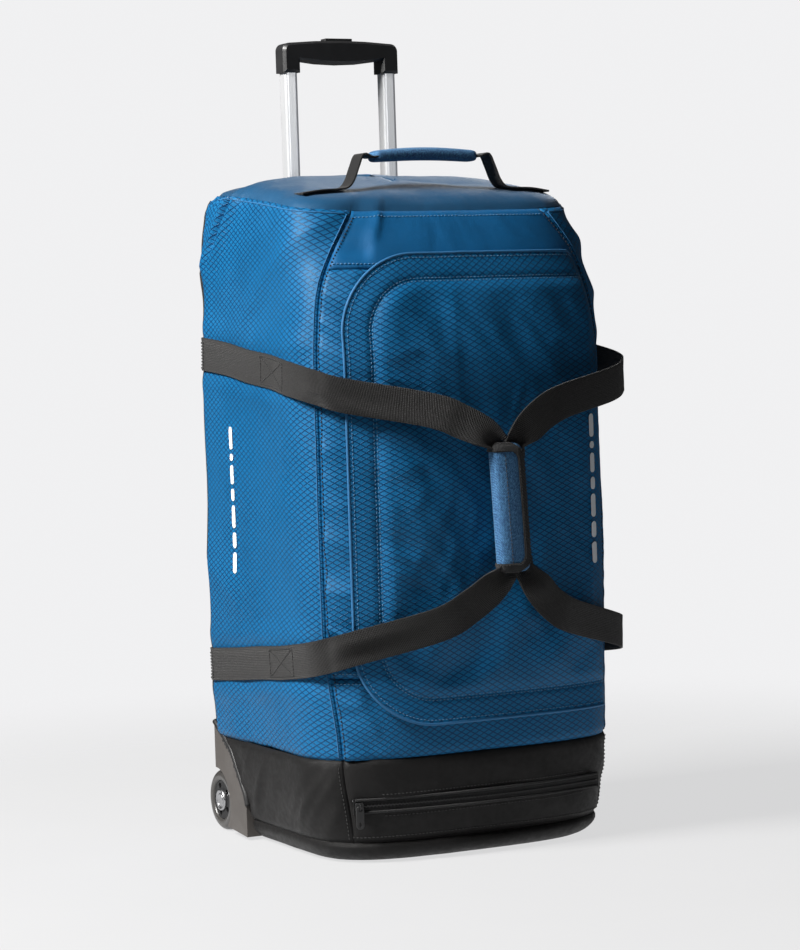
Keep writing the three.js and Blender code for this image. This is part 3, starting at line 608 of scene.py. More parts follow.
def twill_material():
    """Soft mottled blue twill, on the two padded handles."""
    s = Shader("twill", Specular_IOR_Level=0.35, Sheen_Weight=0.25, Sheen_Roughness=0.5,
               Sheen_Tint=colour(160, 190, 215))
    x, _, z = s.node("SeparateXYZ", {0: s.place()}).outputs
    ribs = s.wave(s.math("ADD", x, s.math("MULTIPLY", z, 0.7)), 1.9 * MM)
    spots = s.noise(900.0, 4.0, 0.8, (1, 1, 0.55))
    pale = s.ramp(s.math("ADD", s.math("MULTIPLY", ribs, 0.35), s.math("MULTIPLY", spots, 6.0)), 2.3, 4.0)
    s.set(Base_Color=s.mix(pale, colour(10, 52, 94), colour(84, 138, 182)))
    s.set(Roughness=s.ramp(spots, 0.3, 0.7, 0.68, 0.82), Normal=s.bump(ribs, 0.12 * MM))
    return s.material


def thread_material(name, base):
    s = Shader(name, Roughness=0.6, Specular_IOR_Level=0.4, Sheen_Weight=0.2)
    spots = s.noise(1500.0, 1.0)
    s.set(Base_Color=s.mix(s.ramp(spots, 0.3, 0.7), base, darker(base, 0.6)), Normal=s.bump(spots, 0.08 * MM))
    return s.material


def plastic_material(name, base, rough, grain, scale, coat=0.0):
    """Moulded plastic with an etched grain, rubbed smoother in places. grain is its depth in millimetres."""
    s = Shader(name, Specular_IOR_Level=0.5, Coat_Weight=coat, Coat_Roughness=0.25)
    s.set(Base_Color=s.soiled(base, 0.08, 0.7, 30.0))
    s.set(Roughness=s.ramp(s.noise(40.0, 4.0), 0.3, 0.7, rough - 0.08, rough + 0.08))
    s.set(Normal=s.bump(s.noise(scale, 3.0, 0.6), grain * MM))
    return s.material


def metal_material(name, base, rough, stretch, metallic=1.0):
    """Brushed metal. The brushing runs along the axis whose stretch is small."""
    s = Shader(name, Metallic=metallic, Specular_IOR_Level=0.5)
    brushed = s.noise(60.0, 4.0, 0.7, stretch)
    s.set(Base_Color=s.mix(s.ramp(brushed, 0.3, 0.7), base, darker(base, 0.8)))
    s.set(Roughness=s.ramp(brushed, 0.25, 0.75, rough - 0.06, rough + 0.08))
    s.set(Normal=s.bump(brushed, 0.02 * MM))
    return s.material


RIPSTOP = ripstop_material()
PLAIN = plain_material("plain_fabric", colour(14, 84, 132))
TOP_CLOTH = plain_material("top_fabric", colour(30, 74, 108), 0.42, 0.7)
LINING = plain_material("lining", colour(92, 88, 84), 0.65)
WELT = plain_material("welt", colour(48, 104, 150), 0.55)
BASE = base_material()
WEBBING = webbing_material("webbing", colour(38, 37, 37))
BINDING = webbing_material("binding", colour(40, 40, 41), 1.6 * MM)
TAPE = webbing_material("zip_tape", colour(26, 26, 27), 1.2 * MM)
TWILL = twill_material()
BLUE_THREAD = thread_material("blue_thread", colour(92, 146, 188))
NAVY_THREAD = thread_material("navy_thread", colour(10, 26, 46))
GREY_THREAD = thread_material("grey_thread", colour(40, 40, 40))
DARK_THREAD = thread_material("dark_thread", colour(30, 30, 31))
REFLECTIVE = plastic_material("reflective_print", colour(222, 226, 230), 0.35, 0.04, 1500.0)
HOUSING = plastic_material("housing_plastic", colour(78, 74, 71), 0.5, 0.2, 700.0)
BLACK = plastic_material("black_plastic", colour(38, 38, 39), 0.42, 0.06, 1100.0)
SOFT_BLACK = plastic_material("rim_rubber", colour(24, 24, 25), 0.55, 0.08, 900.0)
TYRE = plastic_material("tyre_rubber", colour(62, 60, 58), 0.36, 0.05, 500.0, 0.3)
BOARD = plastic_material("stiff_board", colour(48, 48, 50), 0.7, 0.2, 400.0)
STEEL = metal_material("steel", colour(190, 190, 192), 0.3, (1, 1, 1))
ALUMINIUM = metal_material("aluminium", colour(226, 227, 229), 0.32, (30, 30, 0.6), 0.45)

# ---------------------------------------------------------------- the drape of the cloth

# Layers of folds: height in mm, size along and up in metres, and the noise's two shifts.
WALL_FOLDS = ((1.7, 0.10, 0.16, 3.1, 0), (0.9, 0.045, 0.075, 0, 9), (0.35, 0.017, 0.03, 40, 0))
SIDE_FOLDS = ((2.0, 0.05, 0.13, 60, 4),)
BASE_FOLDS = ((1.6, 0.07, 0.05, 0, 3), (0.8, 0.03, 0.02, 0, 12))
PILLOW_FOLDS = ((1.6, 0.05, 0.03, 5, 0),)
TOP_FOLDS = ((2.4, 0.09, 0.06, 0, 4), (1.1, 0.03, 0.035, 8, 0))
BACK_FOLDS = ((1.6, 0.12, 0.09, 0, 0), (0.7, 0.04, 0.03, 0, 0))


def seam(distance, along, mark, depth=2.2, width=3.2, pucker=0.9, pitch=11):
    """Cloth pulled in along a seam, with the gathers that the stitching makes beside it. Sizes in mm."""
    away = np.abs(distance)
    coarse = noise2(along / (pitch * MM), mark + 0 * along)
    fine = noise2(along / (pitch * MM * 0.45), mark + 3 + 0 * along)
    puckers = pucker * MM * (coarse + 0.6 * fine) * np.exp(-away / (9 * MM)) * ramp(away / (3 * MM))
    return -depth * MM * np.exp(-(away / (width * MM)) ** 2) + puckers


def strap_height(place, upper):
    """Middle height of a carry strap on the wall."""
    back, front = (560, 541) if upper else (201, 217)
    return mix(back, front, np.clip((0.9 - np.abs(place)) / 0.3, 0, 1)) * MM


def back_corner_gathers(place, z, s, side):
    """The cloth tucked, gathered and pinched into the top back corner."""
    run, around = np.abs(s), np.abs(place)
    below = shoulder_z(place) - z
    high = ramp((z - 0.50) / 0.2)
    out = bump_at(around, 0.95, 0.13) * high * 3.6 * MM * crease(run / 0.021 + 3.5 * z, z / 0.12)
    out -= bump_at(around, 0.97, 0.12) * 12 * MM * np.exp(-below / (12 * MM))
    gathers = crease((run - 0.7 * below) / 0.0095, z / 0.05)
    out += bump_at(around, 0.90, 0.13) * 5.0 * MM * gathers * np.exp(-below / (34 * MM))
    from_pinch = HALF_OUTLINE - run - (96 * MM - 0.72 * below)
    pinch = (5.0 * MM * bump_at(from_pinch, -12 * MM, 7 * MM) - 9.0 * MM * bump_at(from_pinch, 0, 5 * MM)
             + 5.0 * MM * bump_at(from_pinch, 13 * MM, 9 * MM))
    return out + side * np.exp(-(below / (62 * MM)) ** 4) * pinch


def strap_dents(place, z, s):
    """The cloth is held down under each carry strap and swells beside it."""
    out = 0
    for upper in (True, False):
        off = z - strap_height(place, upper)
        away = np.abs(off)
        out += 1.4 * MM * bump_at(away, 33 * MM, 12 * MM) - 1.6 * MM * np.exp(-(off / (20 * MM)) ** 4)
        out += 1.2 * MM * noise2(s / 0.03, np.sign(off) + 50) * np.exp(-np.abs(away - 26 * MM) / (14 * MM))
    return out


def drape(place, z):
    """How far the cloth stands off the plain wall: billows, creases, gathers at seams, dents under straps."""
    place, z = np.broadcast_arrays(np.asarray(place, float), np.asarray(z, float))
    s = arc(place)
    run = np.abs(s)
    side = ramp((run - SEAM_ARC) / (30 * MM))
    front = 1 - ramp((run - SEAM_ARC + 4 * MM) / (4 * MM))
    out = layered(folds, WALL_FOLDS, s, z)
    out += seam(run - SEAM_ARC, z, 5.0 + np.sign(s), depth=1.3, width=2.2)
    out += seam(z - BASE_SEAM_Z, s, 9.0, depth=2.4, width=3.5, pucker=1.3, pitch=16)
    out += seam(shoulder_z(place) - z, s, 15.0, depth=2.6, width=3.5, pucker=1.1, pitch=13)
    out += front * seam(z - LOWER_FRONT_SEAM_Z, s, 21.0)
    out += front * seam(z - YOKE_SEAM_Z, s, 27.0, depth=1.6)
    out += back_corner_gathers(place, z, s, side)
    shoulder_fold = 7.0 * MM * crease((z + 0.62 * run) / 0.062 + 0.4, s / 0.25)
    out += side * ramp((z - 0.52) / 0.12) * shoulder_fold
    out += side * 5.0 * MM * crease((z - 0.35 * run) / 0.11, s / 0.3 + 3)
    out += side * layered(folds, SIDE_FOLDS, s, z)
    strip = front * ramp((-s - 0.7 * SEAM_ARC) / (20 * MM))
    out += strip * 7.0 * MM * crease((z + 0.5 * s) / 0.026, s / 0.06)
    out += strip * 2.2 * MM * folds(s / 0.09, z / 0.021)
    return out + side * strap_dents(place, z, s)


def drift(place, z):
    """The left front seam isn't plumb: it bends towards the middle at its two ends."""
    foot = 0.030 * ramp((0.26 - z) / 0.15) + 0.012 * ramp((0.115 - z) / 0.08)
    head = 0.020 * ramp((z - 0.62) / 0.09)
    return place + (foot + head) * bump_at(place, -FRONT_SEAM, 0.16)


def skin(place, z, lift=0.0):
    """A point of the draped wall, lift metres above the cloth."""
    place, z = np.broadcast_arrays(np.asarray(place, float), np.asarray(z, float))
    moved = drift(place, z)
    return wall(moved, z) + wall_normal(moved, z) * (drape(place, z) + lift)[..., None]


def base_skin(place, z, lift=0.0):
    """A point of the base band or of the pillow under it."""
    place, z = np.broadcast_arrays(np.asarray(place, float), np.asarray(z, float))
    s = arc(place)
    run = np.abs(s)
    place = drift(place, z)
    out = seam(z - BASE_SEAM_Z, s, 31.0, depth=2.4, width=3.5, pucker=1.3, pitch=16)
    out += seam(z - LOWER_SEAM_Z, s, 37.0, depth=2.6, width=3.5, pucker=1.0, pitch=14)
    out += seam(run - SEAM_ARC, z, 41.0 + np.sign(s), depth=1.6) * ramp((z - LOWER_SEAM_Z) / (5 * MM))
    band = np.sin(np.clip((z - LOWER_SEAM_Z) / (BASE_SEAM_Z - LOWER_SEAM_Z), 0, 1) * math.pi)
    out += band * layered(folds, BASE_FOLDS, s, z)
    side = ramp((run - SEAM_ARC) / (25 * MM)) * ramp((HALF_OUTLINE - run - 75 * MM) / (50 * MM))
    slant = run / 0.042 + z / 0.055
    out += band * side * (10 * MM * crease(slant, s / 0.16) + 4.5 * MM * crease(slant * 2.3 + 4, s / 0.09))
    out += band * (1 - side) * 4.0 * MM * crease(s / 0.045 + z / 0.05, z / 0.07 + 2)
    out += (1 - band) * (z < LOWER_SEAM_Z) * layered(folds, PILLOW_FOLDS, s, z) * ramp(z / (8 * MM))
    flat = bump_at(z, 65 * MM, 16 * MM) * (run < SEAM_ARC)
    off = (out * (1 - 0.8 * flat) + lift)[..., None]
    return base_smooth(place, z) + normal_of(base_smooth, place, z) * off


# ---------------------------------------------------------------- panels

# The curved edge of the wheel housings, seen from the side: Y and Z.
HOUSING_RIM = np.array([(74, 38), (78, 50), (88, 63), (101, 81),
                        (115, 98), (131, 109), (148, 119), (161, 127)]) * MM
HOUSING_INNER_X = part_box("wheel_housing_right")[0].x - 2 * MM
PANEL_STEP = 3.2 * MM
PILLOW_COLUMNS = 260
PILLOW_ROWS = (1, 0.93, 0.84, 0.73, 0.6, 0.47, 0.34, 0.22, 0.12, 0.05, 0.01, 0.0)
PILLOW_INNER_ROWS = (0.93, 0.8, 0.6, 0.35, 0.02)
TOP_RIM_POINTS, TOP_BACK_POINTS, TOP_RINGS = 170, 70, 48
TOP_RING_CROWDING = 1.25
TOP_MIDDLE_Y = 40 * MM
BEZEL_FADE = 22 * MM


def in_housing(points):
    """Whether points lie in the room of a wheel housing, seen from the side."""
    x, y, z = points[..., 0], points[..., 1], points[..., 2]
    top = np.interp(y, HOUSING_RIM[:, 0], HOUSING_RIM[:, 1]) + HOUSING_MARGIN
    return (y > HOUSING_RIM[0, 0] - HOUSING_MARGIN) & (z < top) & (np.abs(x) > HOUSING_INNER_X)


def lid_depth(x, z):
    """How far inside the lid's outline a point seen from the front is."""
    left = x - lid_low.x
    ends = np.minimum(z - lid_low.z, lid_high.z - z)
    cx, cz = LID_CORNER - left, LID_CORNER - ends
    return np.where((cx > 0) & (cz > 0), LID_CORNER - np.hypot(cx, cz), np.minimum(left, ends))


def under_lid(points):
    return lid_depth(points[..., 0], points[..., 2]) > LID_OVERLAP


def in_pocket_window(points):
    low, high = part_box("pocket_zip_tape")
    x, z = points[..., 0], points[..., 2]
    return (np.abs(x) < high.x - 1 * MM) & (z > low.z + 1 * MM) & (z < high.z - 1 * MM)


def patch(name, surface, places, bottom, top, material, node, drop):
    """A cloth panel over a patch of a surface. drop says which of its points are cut away."""
    place_from, place_to = sorted(places)
    width = abs(float(arc(place_to) - arc(place_from)))
    height = float((top((place_from + place_to) / 2) if callable(top) else top) - bottom)
    columns, rows = max(6, int(width / PANEL_STEP)), max(4, int(height / PANEL_STEP))
    place = np.linspace(place_from, place_to, columns)[None, :]
    high = top(place) if callable(top) else np.full_like(place, top)
    z = mix(np.full_like(place, bottom), high, np.linspace(0, 1, rows)[:, None])
    place = np.repeat(place, rows, 0)
    points = surface(place, z)
    made = sheet_object(name, points, np.stack([arc(place), z], -1), material)
    cut_away(made, drop(points).reshape(-1))
    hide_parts(node)


def wall_panels():
    whole = (-FRONT_SEAM, FRONT_SEAM)
    for name, side in SIDES:
        patch(f"cloth_side_{name}", skin, (side * FRONT_SEAM, side * SIDE_PANEL_END), BASE_SEAM_Z, shoulder_z,
              RIPSTOP, f"side_panel_{name}", in_housing)
    patch("cloth_front_lower", skin, whole, BASE_SEAM_Z, LOWER_FRONT_SEAM_Z, RIPSTOP,
          "front_lower_panel", under_lid)
    patch("cloth_front_strip", skin, (-FRONT_SEAM, 0.0), LOWER_FRONT_SEAM_Z, YOKE_SEAM_Z, RIPSTOP,
          "front_strip_left", under_lid)
    patch("cloth_yoke", skin, whole, YOKE_SEAM_Z, shoulder_z, PLAIN, "front_yoke", under_lid)
    for name, side in SIDES:
        patch(f"cloth_base_{name}", base_skin, (side * FRONT_SEAM, side * 1.0), LOWER_SEAM_Z, BASE_SEAM_Z,
              BASE, f"base_side_{name}", in_housing)
    patch("cloth_base_front", base_skin, whole, LOWER_SEAM_Z, BASE_SEAM_Z, BASE,
          "base_front", in_pocket_window)


def base_pillow():
    """The soft floor of the bag, rolled under from the lowest seam to a flat patch."""
    places = np.linspace(-1, 1, PILLOW_COLUMNS)
    rings = base_skin(*np.meshgrid(places, LOWER_SEAM_Z * np.array(PILLOW_ROWS)))
    rings[..., 2] = np.maximum(rings[..., 2], 0.0)
    inner = [rings[-1] * (share, share, 1) for share in PILLOW_INNER_ROWS]
    points = np.concatenate([rings, np.stack(inner)])[::-1]
    uv = np.stack([np.broadcast_to(arc(places), points.shape[:2]), points[..., 1] + points[..., 2]], -1)
    made = sheet_object("cloth_base_pillow", points, uv, BASE, closed=True)
    cut_away(made, in_housing(points).reshape(-1))
    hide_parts("base_panel")


def top_z(x, y):
    across = np.clip(1 - (x / TOP_HALF_WIDTH) ** 2, 0, 1)
    along = np.clip(1 - ((y - TOP_DOME_MIDDLE_Y) / TOP_DOME_REACH) ** 2, 0, 1)
    return shoulder_height(y) + TOP_DOME * across * along


def top_panel():
    """The top, from the shoulder seam to the middle, dented under the handle's bezel."""
    places = np.linspace(-1, 1, TOP_RIM_POINTS)
    rim = skin(places, shoulder_z(places))
    x, y = rim[:, 0], rim[:, 1]
    back_x = np.linspace(x[-1], x[0], TOP_BACK_POINTS)[1:-1]
    x, y = np.r_[x, back_x], np.r_[y, np.full(len(back_x), y[-1])]
    share = (np.linspace(0, 1, TOP_RINGS) ** TOP_RING_CROWDING)[:, None]
    px = x * (1 - share)
    py = mix(y, TOP_MIDDLE_Y + 0.25 * y, share)
    pz = top_z(px, py)
    edge = np.hypot(px - x, py - y)
    along = run_length(np.stack([x, y], -1))
    pz += seam(edge, along + 0 * edge, 61.0, depth=2.6, width=3.5, pucker=1.4, pitch=14)
    front = ramp((BACK_Y - y - 40 * MM) / (60 * MM))
    pz += mix(5 * MM, 13 * MM, front) * (1 - np.exp(-edge / (13 * MM))) * np.exp(-(edge / (120 * MM)) ** 2)
    pz += layered(folds, TOP_FOLDS, px, py) * ramp(edge / (14 * MM))
    low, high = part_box("handle_bezel")
    near = ramp(1 - np.maximum((np.abs(px) - high.x) / BEZEL_FADE, (low.y - py) / BEZEL_FADE))
    pz = mix(pz, np.minimum(pz, low.z - 1.2 * MM), near)
    points = np.stack([px, py, pz], -1)
    made = sheet_object("cloth_top", points, points[..., :2], TOP_CLOTH, closed=True)
    cut_away(made, ((np.abs(px) < high.x - 6 * MM) & (py > low.y + 4 * MM)).reshape(-1))
    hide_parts("top_panel")


# ---------------------------------------------------------------- the lid

LID_COLUMNS = 116
LID_CORNER_ROWS, LID_MIDDLE_ROWS = 34, 108
LID_THICKNESS = 2.2 * MM
LID_FLUSH_DEPTH = -1.6 * MM
LID_WRINKLED_X = -95 * MM


def lid_rows():
    """Heights of the lid's rows, closer together round its corners."""
    turn = np.linspace(0, math.pi / 2, LID_CORNER_ROWS)
    low = lid_low.z + LID_CORNER * (1 - np.cos(turn))
    high = lid_high.z - LID_CORNER * (1 - np.cos(turn))[::-1]
    return np.r_[low, np.linspace(low[-1], high[0], LID_MIDDLE_ROWS)[1:-1], high]


def place_at(x, z):
    """Places of wall points that have these X values, row by row."""
    places = np.linspace(-0.62, 0.62, 700)
    return np.stack([np.interp(x[r], wall(places, z[r, 0])[:, 0], places) for r in range(len(x))])


def lid_folds(x, z, deep):
    """Folds of the lid's cloth, and slanting creases low down, high up and at its left."""
    cross = x + 0.75 * (z - 0.40)
    out = 4.2 * MM * folds((x + 0.5 * np.abs(z - 0.38)) / 0.055, (z - 0.4 * x) / 0.20)
    out += 2.4 * MM * folds(cross / 0.03, (z - cross) / 0.12 + 5)
    out += 0.45 * MM * noise2(x / 0.011, z / 0.22)
    out += ramp((0.33 - z) / 0.10) * 7.5 * MM * crease((z - 0.75 * x) / 0.042 + 0.3, (x + z) / 0.16)
    out += ramp((z - 0.47) / 0.10) * 4.2 * MM * crease((z + 0.6 * x) / 0.055 + 0.8, (x - z) / 0.18)
    patchy = ramp(0.5 + 2 * noise2(x / 0.06, z / 0.06))
    out += 1.2 * MM * crease((x - 0.3 * z) / 0.019 + 2, (z + x) / 0.05) * patchy
    upright = crease(x / 0.034 + 0.3 * np.sin(z / 0.07), z / 0.30)
    out += 2.88 * MM * upright * bump_at(x, -80 * MM, 60 * MM)
    out *= ramp((deep - LID_STITCH) / (30 * MM))
    out += 0.9 * MM * folds(x / 0.05, z / 0.03)
    wrinkled = bump_at(x, LID_WRINKLED_X, 32 * MM) * ramp((deep - 6 * MM) / (12 * MM))
    return out + 3.2 * MM * crease((z + 0.35 * x) / 0.021 + 5, x / 0.05) * wrinkled


def lid_lift(x, z, place):
    """Height of the lid's cloth over the plain wall."""
    deep = lid_depth(x, z)
    inside = deep - LID_STITCH
    puff = 3.2 * MM * ramp(inside / (14 * MM)) + 5.5 * MM * ramp(inside / (90 * MM))
    lift = LID_LIFT + puff + 0.8 * MM * ramp(1 - deep / (7 * MM))
    lift -= 1.8 * MM * np.exp(-(inside / (2.6 * MM)) ** 2)
    around = np.where(deep < 60 * MM, z + 0.6 * x, 0)
    lift += 1.0 * MM * noise2(around / (12 * MM), deep / (60 * MM)) * np.exp(-np.abs(inside) / (16 * MM))
    lift += lid_folds(x, z, deep)
    from_seam = SEAM_ARC - arc(place)
    flush = ramp(from_seam / (30 * MM)) ** 0.7
    return mix(LID_FLUSH_DEPTH, np.minimum(lift, 0.5 * MM + 0.36 * np.maximum(from_seam, 0)), flush)


def lid_point(x, z, extra=0.0):
    place = place_at(x, z)
    return wall(place, z) + wall_normal(place, z) * (lid_lift(x, z, place) + extra)[..., None], place


def lid_outline(inset):
    """Points along the lid's free edge, inset from it: the bottom from the right, the left side, the top."""
    corner = LID_CORNER - inset
    left, low, high = lid_low.x + inset, lid_low.z + inset, lid_high.z - inset
    right = lid_high.x - 3 * MM
    turn = np.linspace(0, math.pi / 2, 40)
    x = np.r_[right, left + corner - corner * np.sin(turn), left + corner - corner * np.cos(turn), right]
    z = np.r_[low, low + corner * (1 - np.cos(turn)), high - corner * (1 - np.sin(turn)), high]
    flat = resample(np.stack([x, z], -1), ROW_STEP)
    ends = (0.3, 0.5)
    seam_x = [np.interp(FRONT_SEAM, ends, wall(np.array(ends), height)[:, 0]) for height in flat[:, 1]]
    flat = flat[flat[:, 0] < np.array(seam_x)]
    return flat[:, :1], flat[:, 1:]


def lid():
    heights = lid_rows()[:, None]
    ends = np.minimum(heights - lid_low.z, lid_high.z - heights)
    bend = np.maximum(LID_CORNER - ends, 0)
    left = lid_low.x + LID_CORNER - np.sqrt(np.maximum(LID_CORNER ** 2 - bend ** 2, 0))
    right = np.array([float(wall(FRONT_SEAM, h)[0]) for h in heights[:, 0]])[:, None]
    x = mix(left, right, np.linspace(0, 1, LID_COLUMNS)[None, :])
    z = np.repeat(heights, LID_COLUMNS, 1)
    points, place = lid_point(x, z)
    made = sheet_object("cloth_lid", points, np.stack([arc(place), z], -1), RIPSTOP, LID_THICKNESS)
    made.data.materials.append(LINING)
    made.modifiers["thickness"].material_offset = 1
    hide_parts("lid_flap")
    ex, ez = lid_outline(0.6 * MM)
    path, _ = lid_point(ex, ez, -0.6 * MM)
    welt = tube_object("lid_welt", path[:, 0], 1.7 * MM, WELT)
    rows = []
    for inset in (5 * MM, LID_STITCH - 1.6 * MM, LID_STITCH + 1.6 * MM):
        ex, ez = lid_outline(inset)
        path, place = lid_point(ex, ez, 0.1 * MM)
        rows.append(stitches(path[:, 0], wall_normal(place[:, 0], ez[:, 0]), BLUE_THREAD, radius=0.4 * MM))
    join_objects("lid_stitching", rows)


# ---------------------------------------------------------------- stitching on the walls

SEAM_EDGE_RADIUS = 0.75 * MM
POCKET_SEWN_PLACE = 0.345


def upright_row(side, bottom, top, offset, surface=skin):
    """Points and normals beside an upright front seam. offset is how far from it, towards the back."""
    at = float(place_of(float(arc(side * FRONT_SEAM)) + side * offset))
    z = np.arange(bottom, top, ROW_STEP)
    places = np.full_like(z, at)
    return surface(places, z, SEWN_LIFT), wall_normal(places, z)


def level_row(place_from, place_to, height, surface=skin):
    places = place_of(np.arange(arc(place_from), arc(place_to), ROW_STEP))
    z = height(places) if callable(height) else np.full_like(places, height)
    return surface(places, z, SEWN_LIFT), wall_normal(places, np.maximum(z, BASE_SEAM_Z + 1 * MM))


def wall_stitching():
    """Rows of stitches and the raised edges along the seams of the wall and the base."""
    blue, black, navy, edges = [], [], [], []
    seam_top = float(shoulder_z(FRONT_SEAM))
    left = -FRONT_SEAM + 0.012
    for _, side in SIDES:
        navy.append(upright_row(side, BASE_SEAM_Z + 4 * MM, seam_top - 4 * MM, -3.4 * MM))
        edges.append(upright_row(side, BASE_SEAM_Z + 3 * MM, seam_top - 3 * MM, 4.2 * MM))
        side_top = sorted((side * (FRONT_SEAM + 0.012), side * 0.90))
        edges.append(level_row(*side_top, lambda p: shoulder_z(p) - 4.2 * MM))
        black.append(upright_row(side, LOWER_SEAM_Z + 5 * MM, BASE_SEAM_Z - 4 * MM, 5 * MM, base_skin))
    blue.append(level_row(left, -left, lambda p: shoulder_z(p) - 7 * MM))
    for height in (LOWER_FRONT_SEAM_Z - 5.5 * MM, LOWER_FRONT_SEAM_Z + 5.5 * MM, YOKE_SEAM_Z + 6 * MM):
        blue.append(level_row(left, LID_TUCK_END, height))
    black.append(level_row(-FRONT_SEAM, FRONT_SEAM, LOWER_SEAM_Z + 6 * MM, base_skin))
    low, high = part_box("pocket_zip_tape")
    for height in (low.z - 3.5 * MM, high.z + 3.5 * MM):
        black.append(level_row(-POCKET_SEWN_PLACE, POCKET_SEWN_PLACE, height, base_skin))
    edges = [tube_object("row", path, SEAM_EDGE_RADIUS, WELT, sides=6) for path, _ in edges]
    made = join_objects("blue_stitching", [stitches(*row, BLUE_THREAD) for row in blue])
    made = join_objects("navy_stitching", [stitches(*row, NAVY_THREAD, radius=0.7 * MM) for row in navy])
    made = join_objects("seam_edges", edges)
    made = join_objects("base_stitching", [stitches(*row, GREY_THREAD) for row in black])


# ---------------------------------------------------------------- straps

ACROSS = np.linspace(-0.5, 0.5, COLUMNS_ACROSS)
MIDDLE_COLUMN = COLUMNS_ACROSS // 2
# How far a strap hangs off the side, and its route on the wall: place, height in mm and lift in mm.
SLACK = {("upper", "left"): 0.0, ("lower", "left"): 0.0,
         ("upper", "right"): 17 * MM, ("lower", "right"): 8 * MM}
ROUTE_PLACES = (0.965, 0.93, 0.9, 0.8, 0.7, 0.6, 0.52, 0.46, 0.42, 0.37)
ROUTE_LIFTS = (2.4, 2.4, 2.4, 2.4, 2.4, 2.4, 4, 9, 14, 17)
ROUTE_HEIGHTS = {"upper": (562, 561, 560, 555, 547, 541, 535, 529, 523, 514),
                 "lower": (199, 200, 201, 206, 212, 217, 222, 227, 232, 240)}
# Off the wall: x, y and z in mm, the lean of the width from upright, its share left, and how level it is.
TURNS = {
    ("upper", "left"): ((-70, -193, 495, 0.36, 1, 0), (-36, -200, 481, 0.5, 1, 0),
                        (-10, -204, 467, 1.0, 0.92, 0.1), (9, -201, 450, 1.0, 0.62, 0.9),
                        (14, -198, 430, 1.0, 0.46, 1)),
    ("upper", "right"): ((92, -200, 499, -0.40, 1, 0), (62, -206, 487, -0.55, 1, 0),
                         (40, -207, 470, -1.0, 0.95, 0.1), (22, -201, 450, -1.0, 0.62, 0.9),
                         (18, -198, 430, -1.0, 0.46, 1)),
    ("lower", "left"): ((-70, -193, 262, -0.36, 1, 0), (-32, -200, 281, -0.5, 1, 0),
                        (-4, -204, 302, -1.0, 0.92, 0.1), (16, -201, 322, -1.0, 0.62, 0.9),
                        (21, -198, 342, -1.0, 0.46, 1)),
    ("lower", "right"): ((96, -198, 260, 0.40, 1, 0), (68, -205, 275, 0.55, 1, 0),
                         (47, -207, 297, 1.0, 0.95, 0.1), (30, -201, 322, 1.0, 0.62, 0.9),
                         (26, -198, 342, 1.0, 0.46, 1)),
}
# A strap's sewn box, its cross, and the two bars at its back end: distance along in mm, share across.
BOX_START, BOX_END = 178, 238
SEWN_LINES = (((BOX_START, -0.4), (BOX_END, -0.4)), ((BOX_START, 0.4), (BOX_END, 0.4)),
              ((BOX_START, -0.4), (BOX_START, 0.4)), ((BOX_END, -0.4), (BOX_END, 0.4)),
              ((BOX_START, -0.4), (BOX_END, 0.4)), ((BOX_START, 0.4), (BOX_END, -0.4)),
              ((14, -0.42), (14, 0.42)), ((22, -0.42), (22, 0.42)))


def strap_object(name, rows, material, thickness=2.2 * MM):
    """A webbing strap from rows of points across its width."""
    rows = np.asarray(rows)
    length = run_length(rows[:, rows.shape[1] // 2])
    across = np.linalg.norm(rows - rows[:, :1], axis=-1)
    uv = np.stack([np.broadcast_to(length[:, None], across.shape), across], -1)
    obj = sheet_object(name, rows, uv, material, thickness)
    obj.modifiers["thickness"].offset = 0
    bevel = obj.modifiers.new("soft_edge", "BEVEL")
    bevel.width = 0.5 * MM
    bevel.segments = 2
    bevel.angle_limit = math.radians(50)
    return obj


def smooth_rows(frames, spacing, side):
    """Even rows of points of a strap through a few given ones, turned so that the outside is up."""
    frames = np.array(frames)
    table = catmull(np.hstack([frames[:, MIDDLE_COLUMN], frames.reshape(len(frames), -1)]), spacing)
    rows = table[:, 3:].reshape(len(table), COLUMNS_ACROSS, 3)
    return rows[:, ::-1] if side > 0 else rows


def carry_strap(level, hand, side):
    """A carry strap: over the back edge, along the side, round the front corner and across to the grip."""
    slack = SLACK[level, hand]
    widths = ACROSS * WEBBING_WIDTH
    frames = []
    for place, z, lift in zip(ROUTE_PLACES, ROUTE_HEIGHTS[level], ROUTE_LIFTS):
        high = lift * MM + (slack if place < 0.8 else slack / 3)
        frames.append(skin(side * place + 0 * widths, z * MM + widths, high))
    for x, y, z, lean, share, turned in TURNS[level, hand]:
        across = np.array([lean, 0, 1 - turned])
        across /= np.linalg.norm(across)
        row = np.array([x, y, z]) * MM + across * widths[:, None] * share
        cupped = 26 * MM * (np.abs(widths) / (0.5 * WEBBING_WIDTH)) ** 2 - 13 * MM
        row[:, 1] -= (1 - share) * cupped
        frames.append(row)
    rows = smooth_rows(frames, 3 * MM, side)
    made = strap_object(f"webbing_{level}_{hand}", rows, WEBBING)
    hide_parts(f"strap_{level}_{hand}")
    strap_stitching(level, hand, side, rows)


def on_strap(rows, along, across):
    """Points and normals of a strap at distances along it and shares across it."""
    length = run_length(rows[:, MIDDLE_COLUMN])
    out = np.empty((len(along), 3))
    normal = np.empty((len(along), 3))
    for k, (a, c) in enumerate(zip(along, across)):
        r = int(np.clip(np.searchsorted(length, a), 1, len(rows) - 2))
        t = (a - length[r - 1]) / max(length[r] - length[r - 1], 1e-9)
        row = mix(rows[r - 1], rows[r], np.clip(t, 0, 1))
        out[k] = [np.interp(c, ACROSS, row[:, j]) for j in range(3)]
        onward = rows[r + 1, MIDDLE_COLUMN] - rows[r - 1, MIDDLE_COLUMN]
        normal[k] = unit(np.cross(onward, row[-1] - row[0]))
    return out, normal


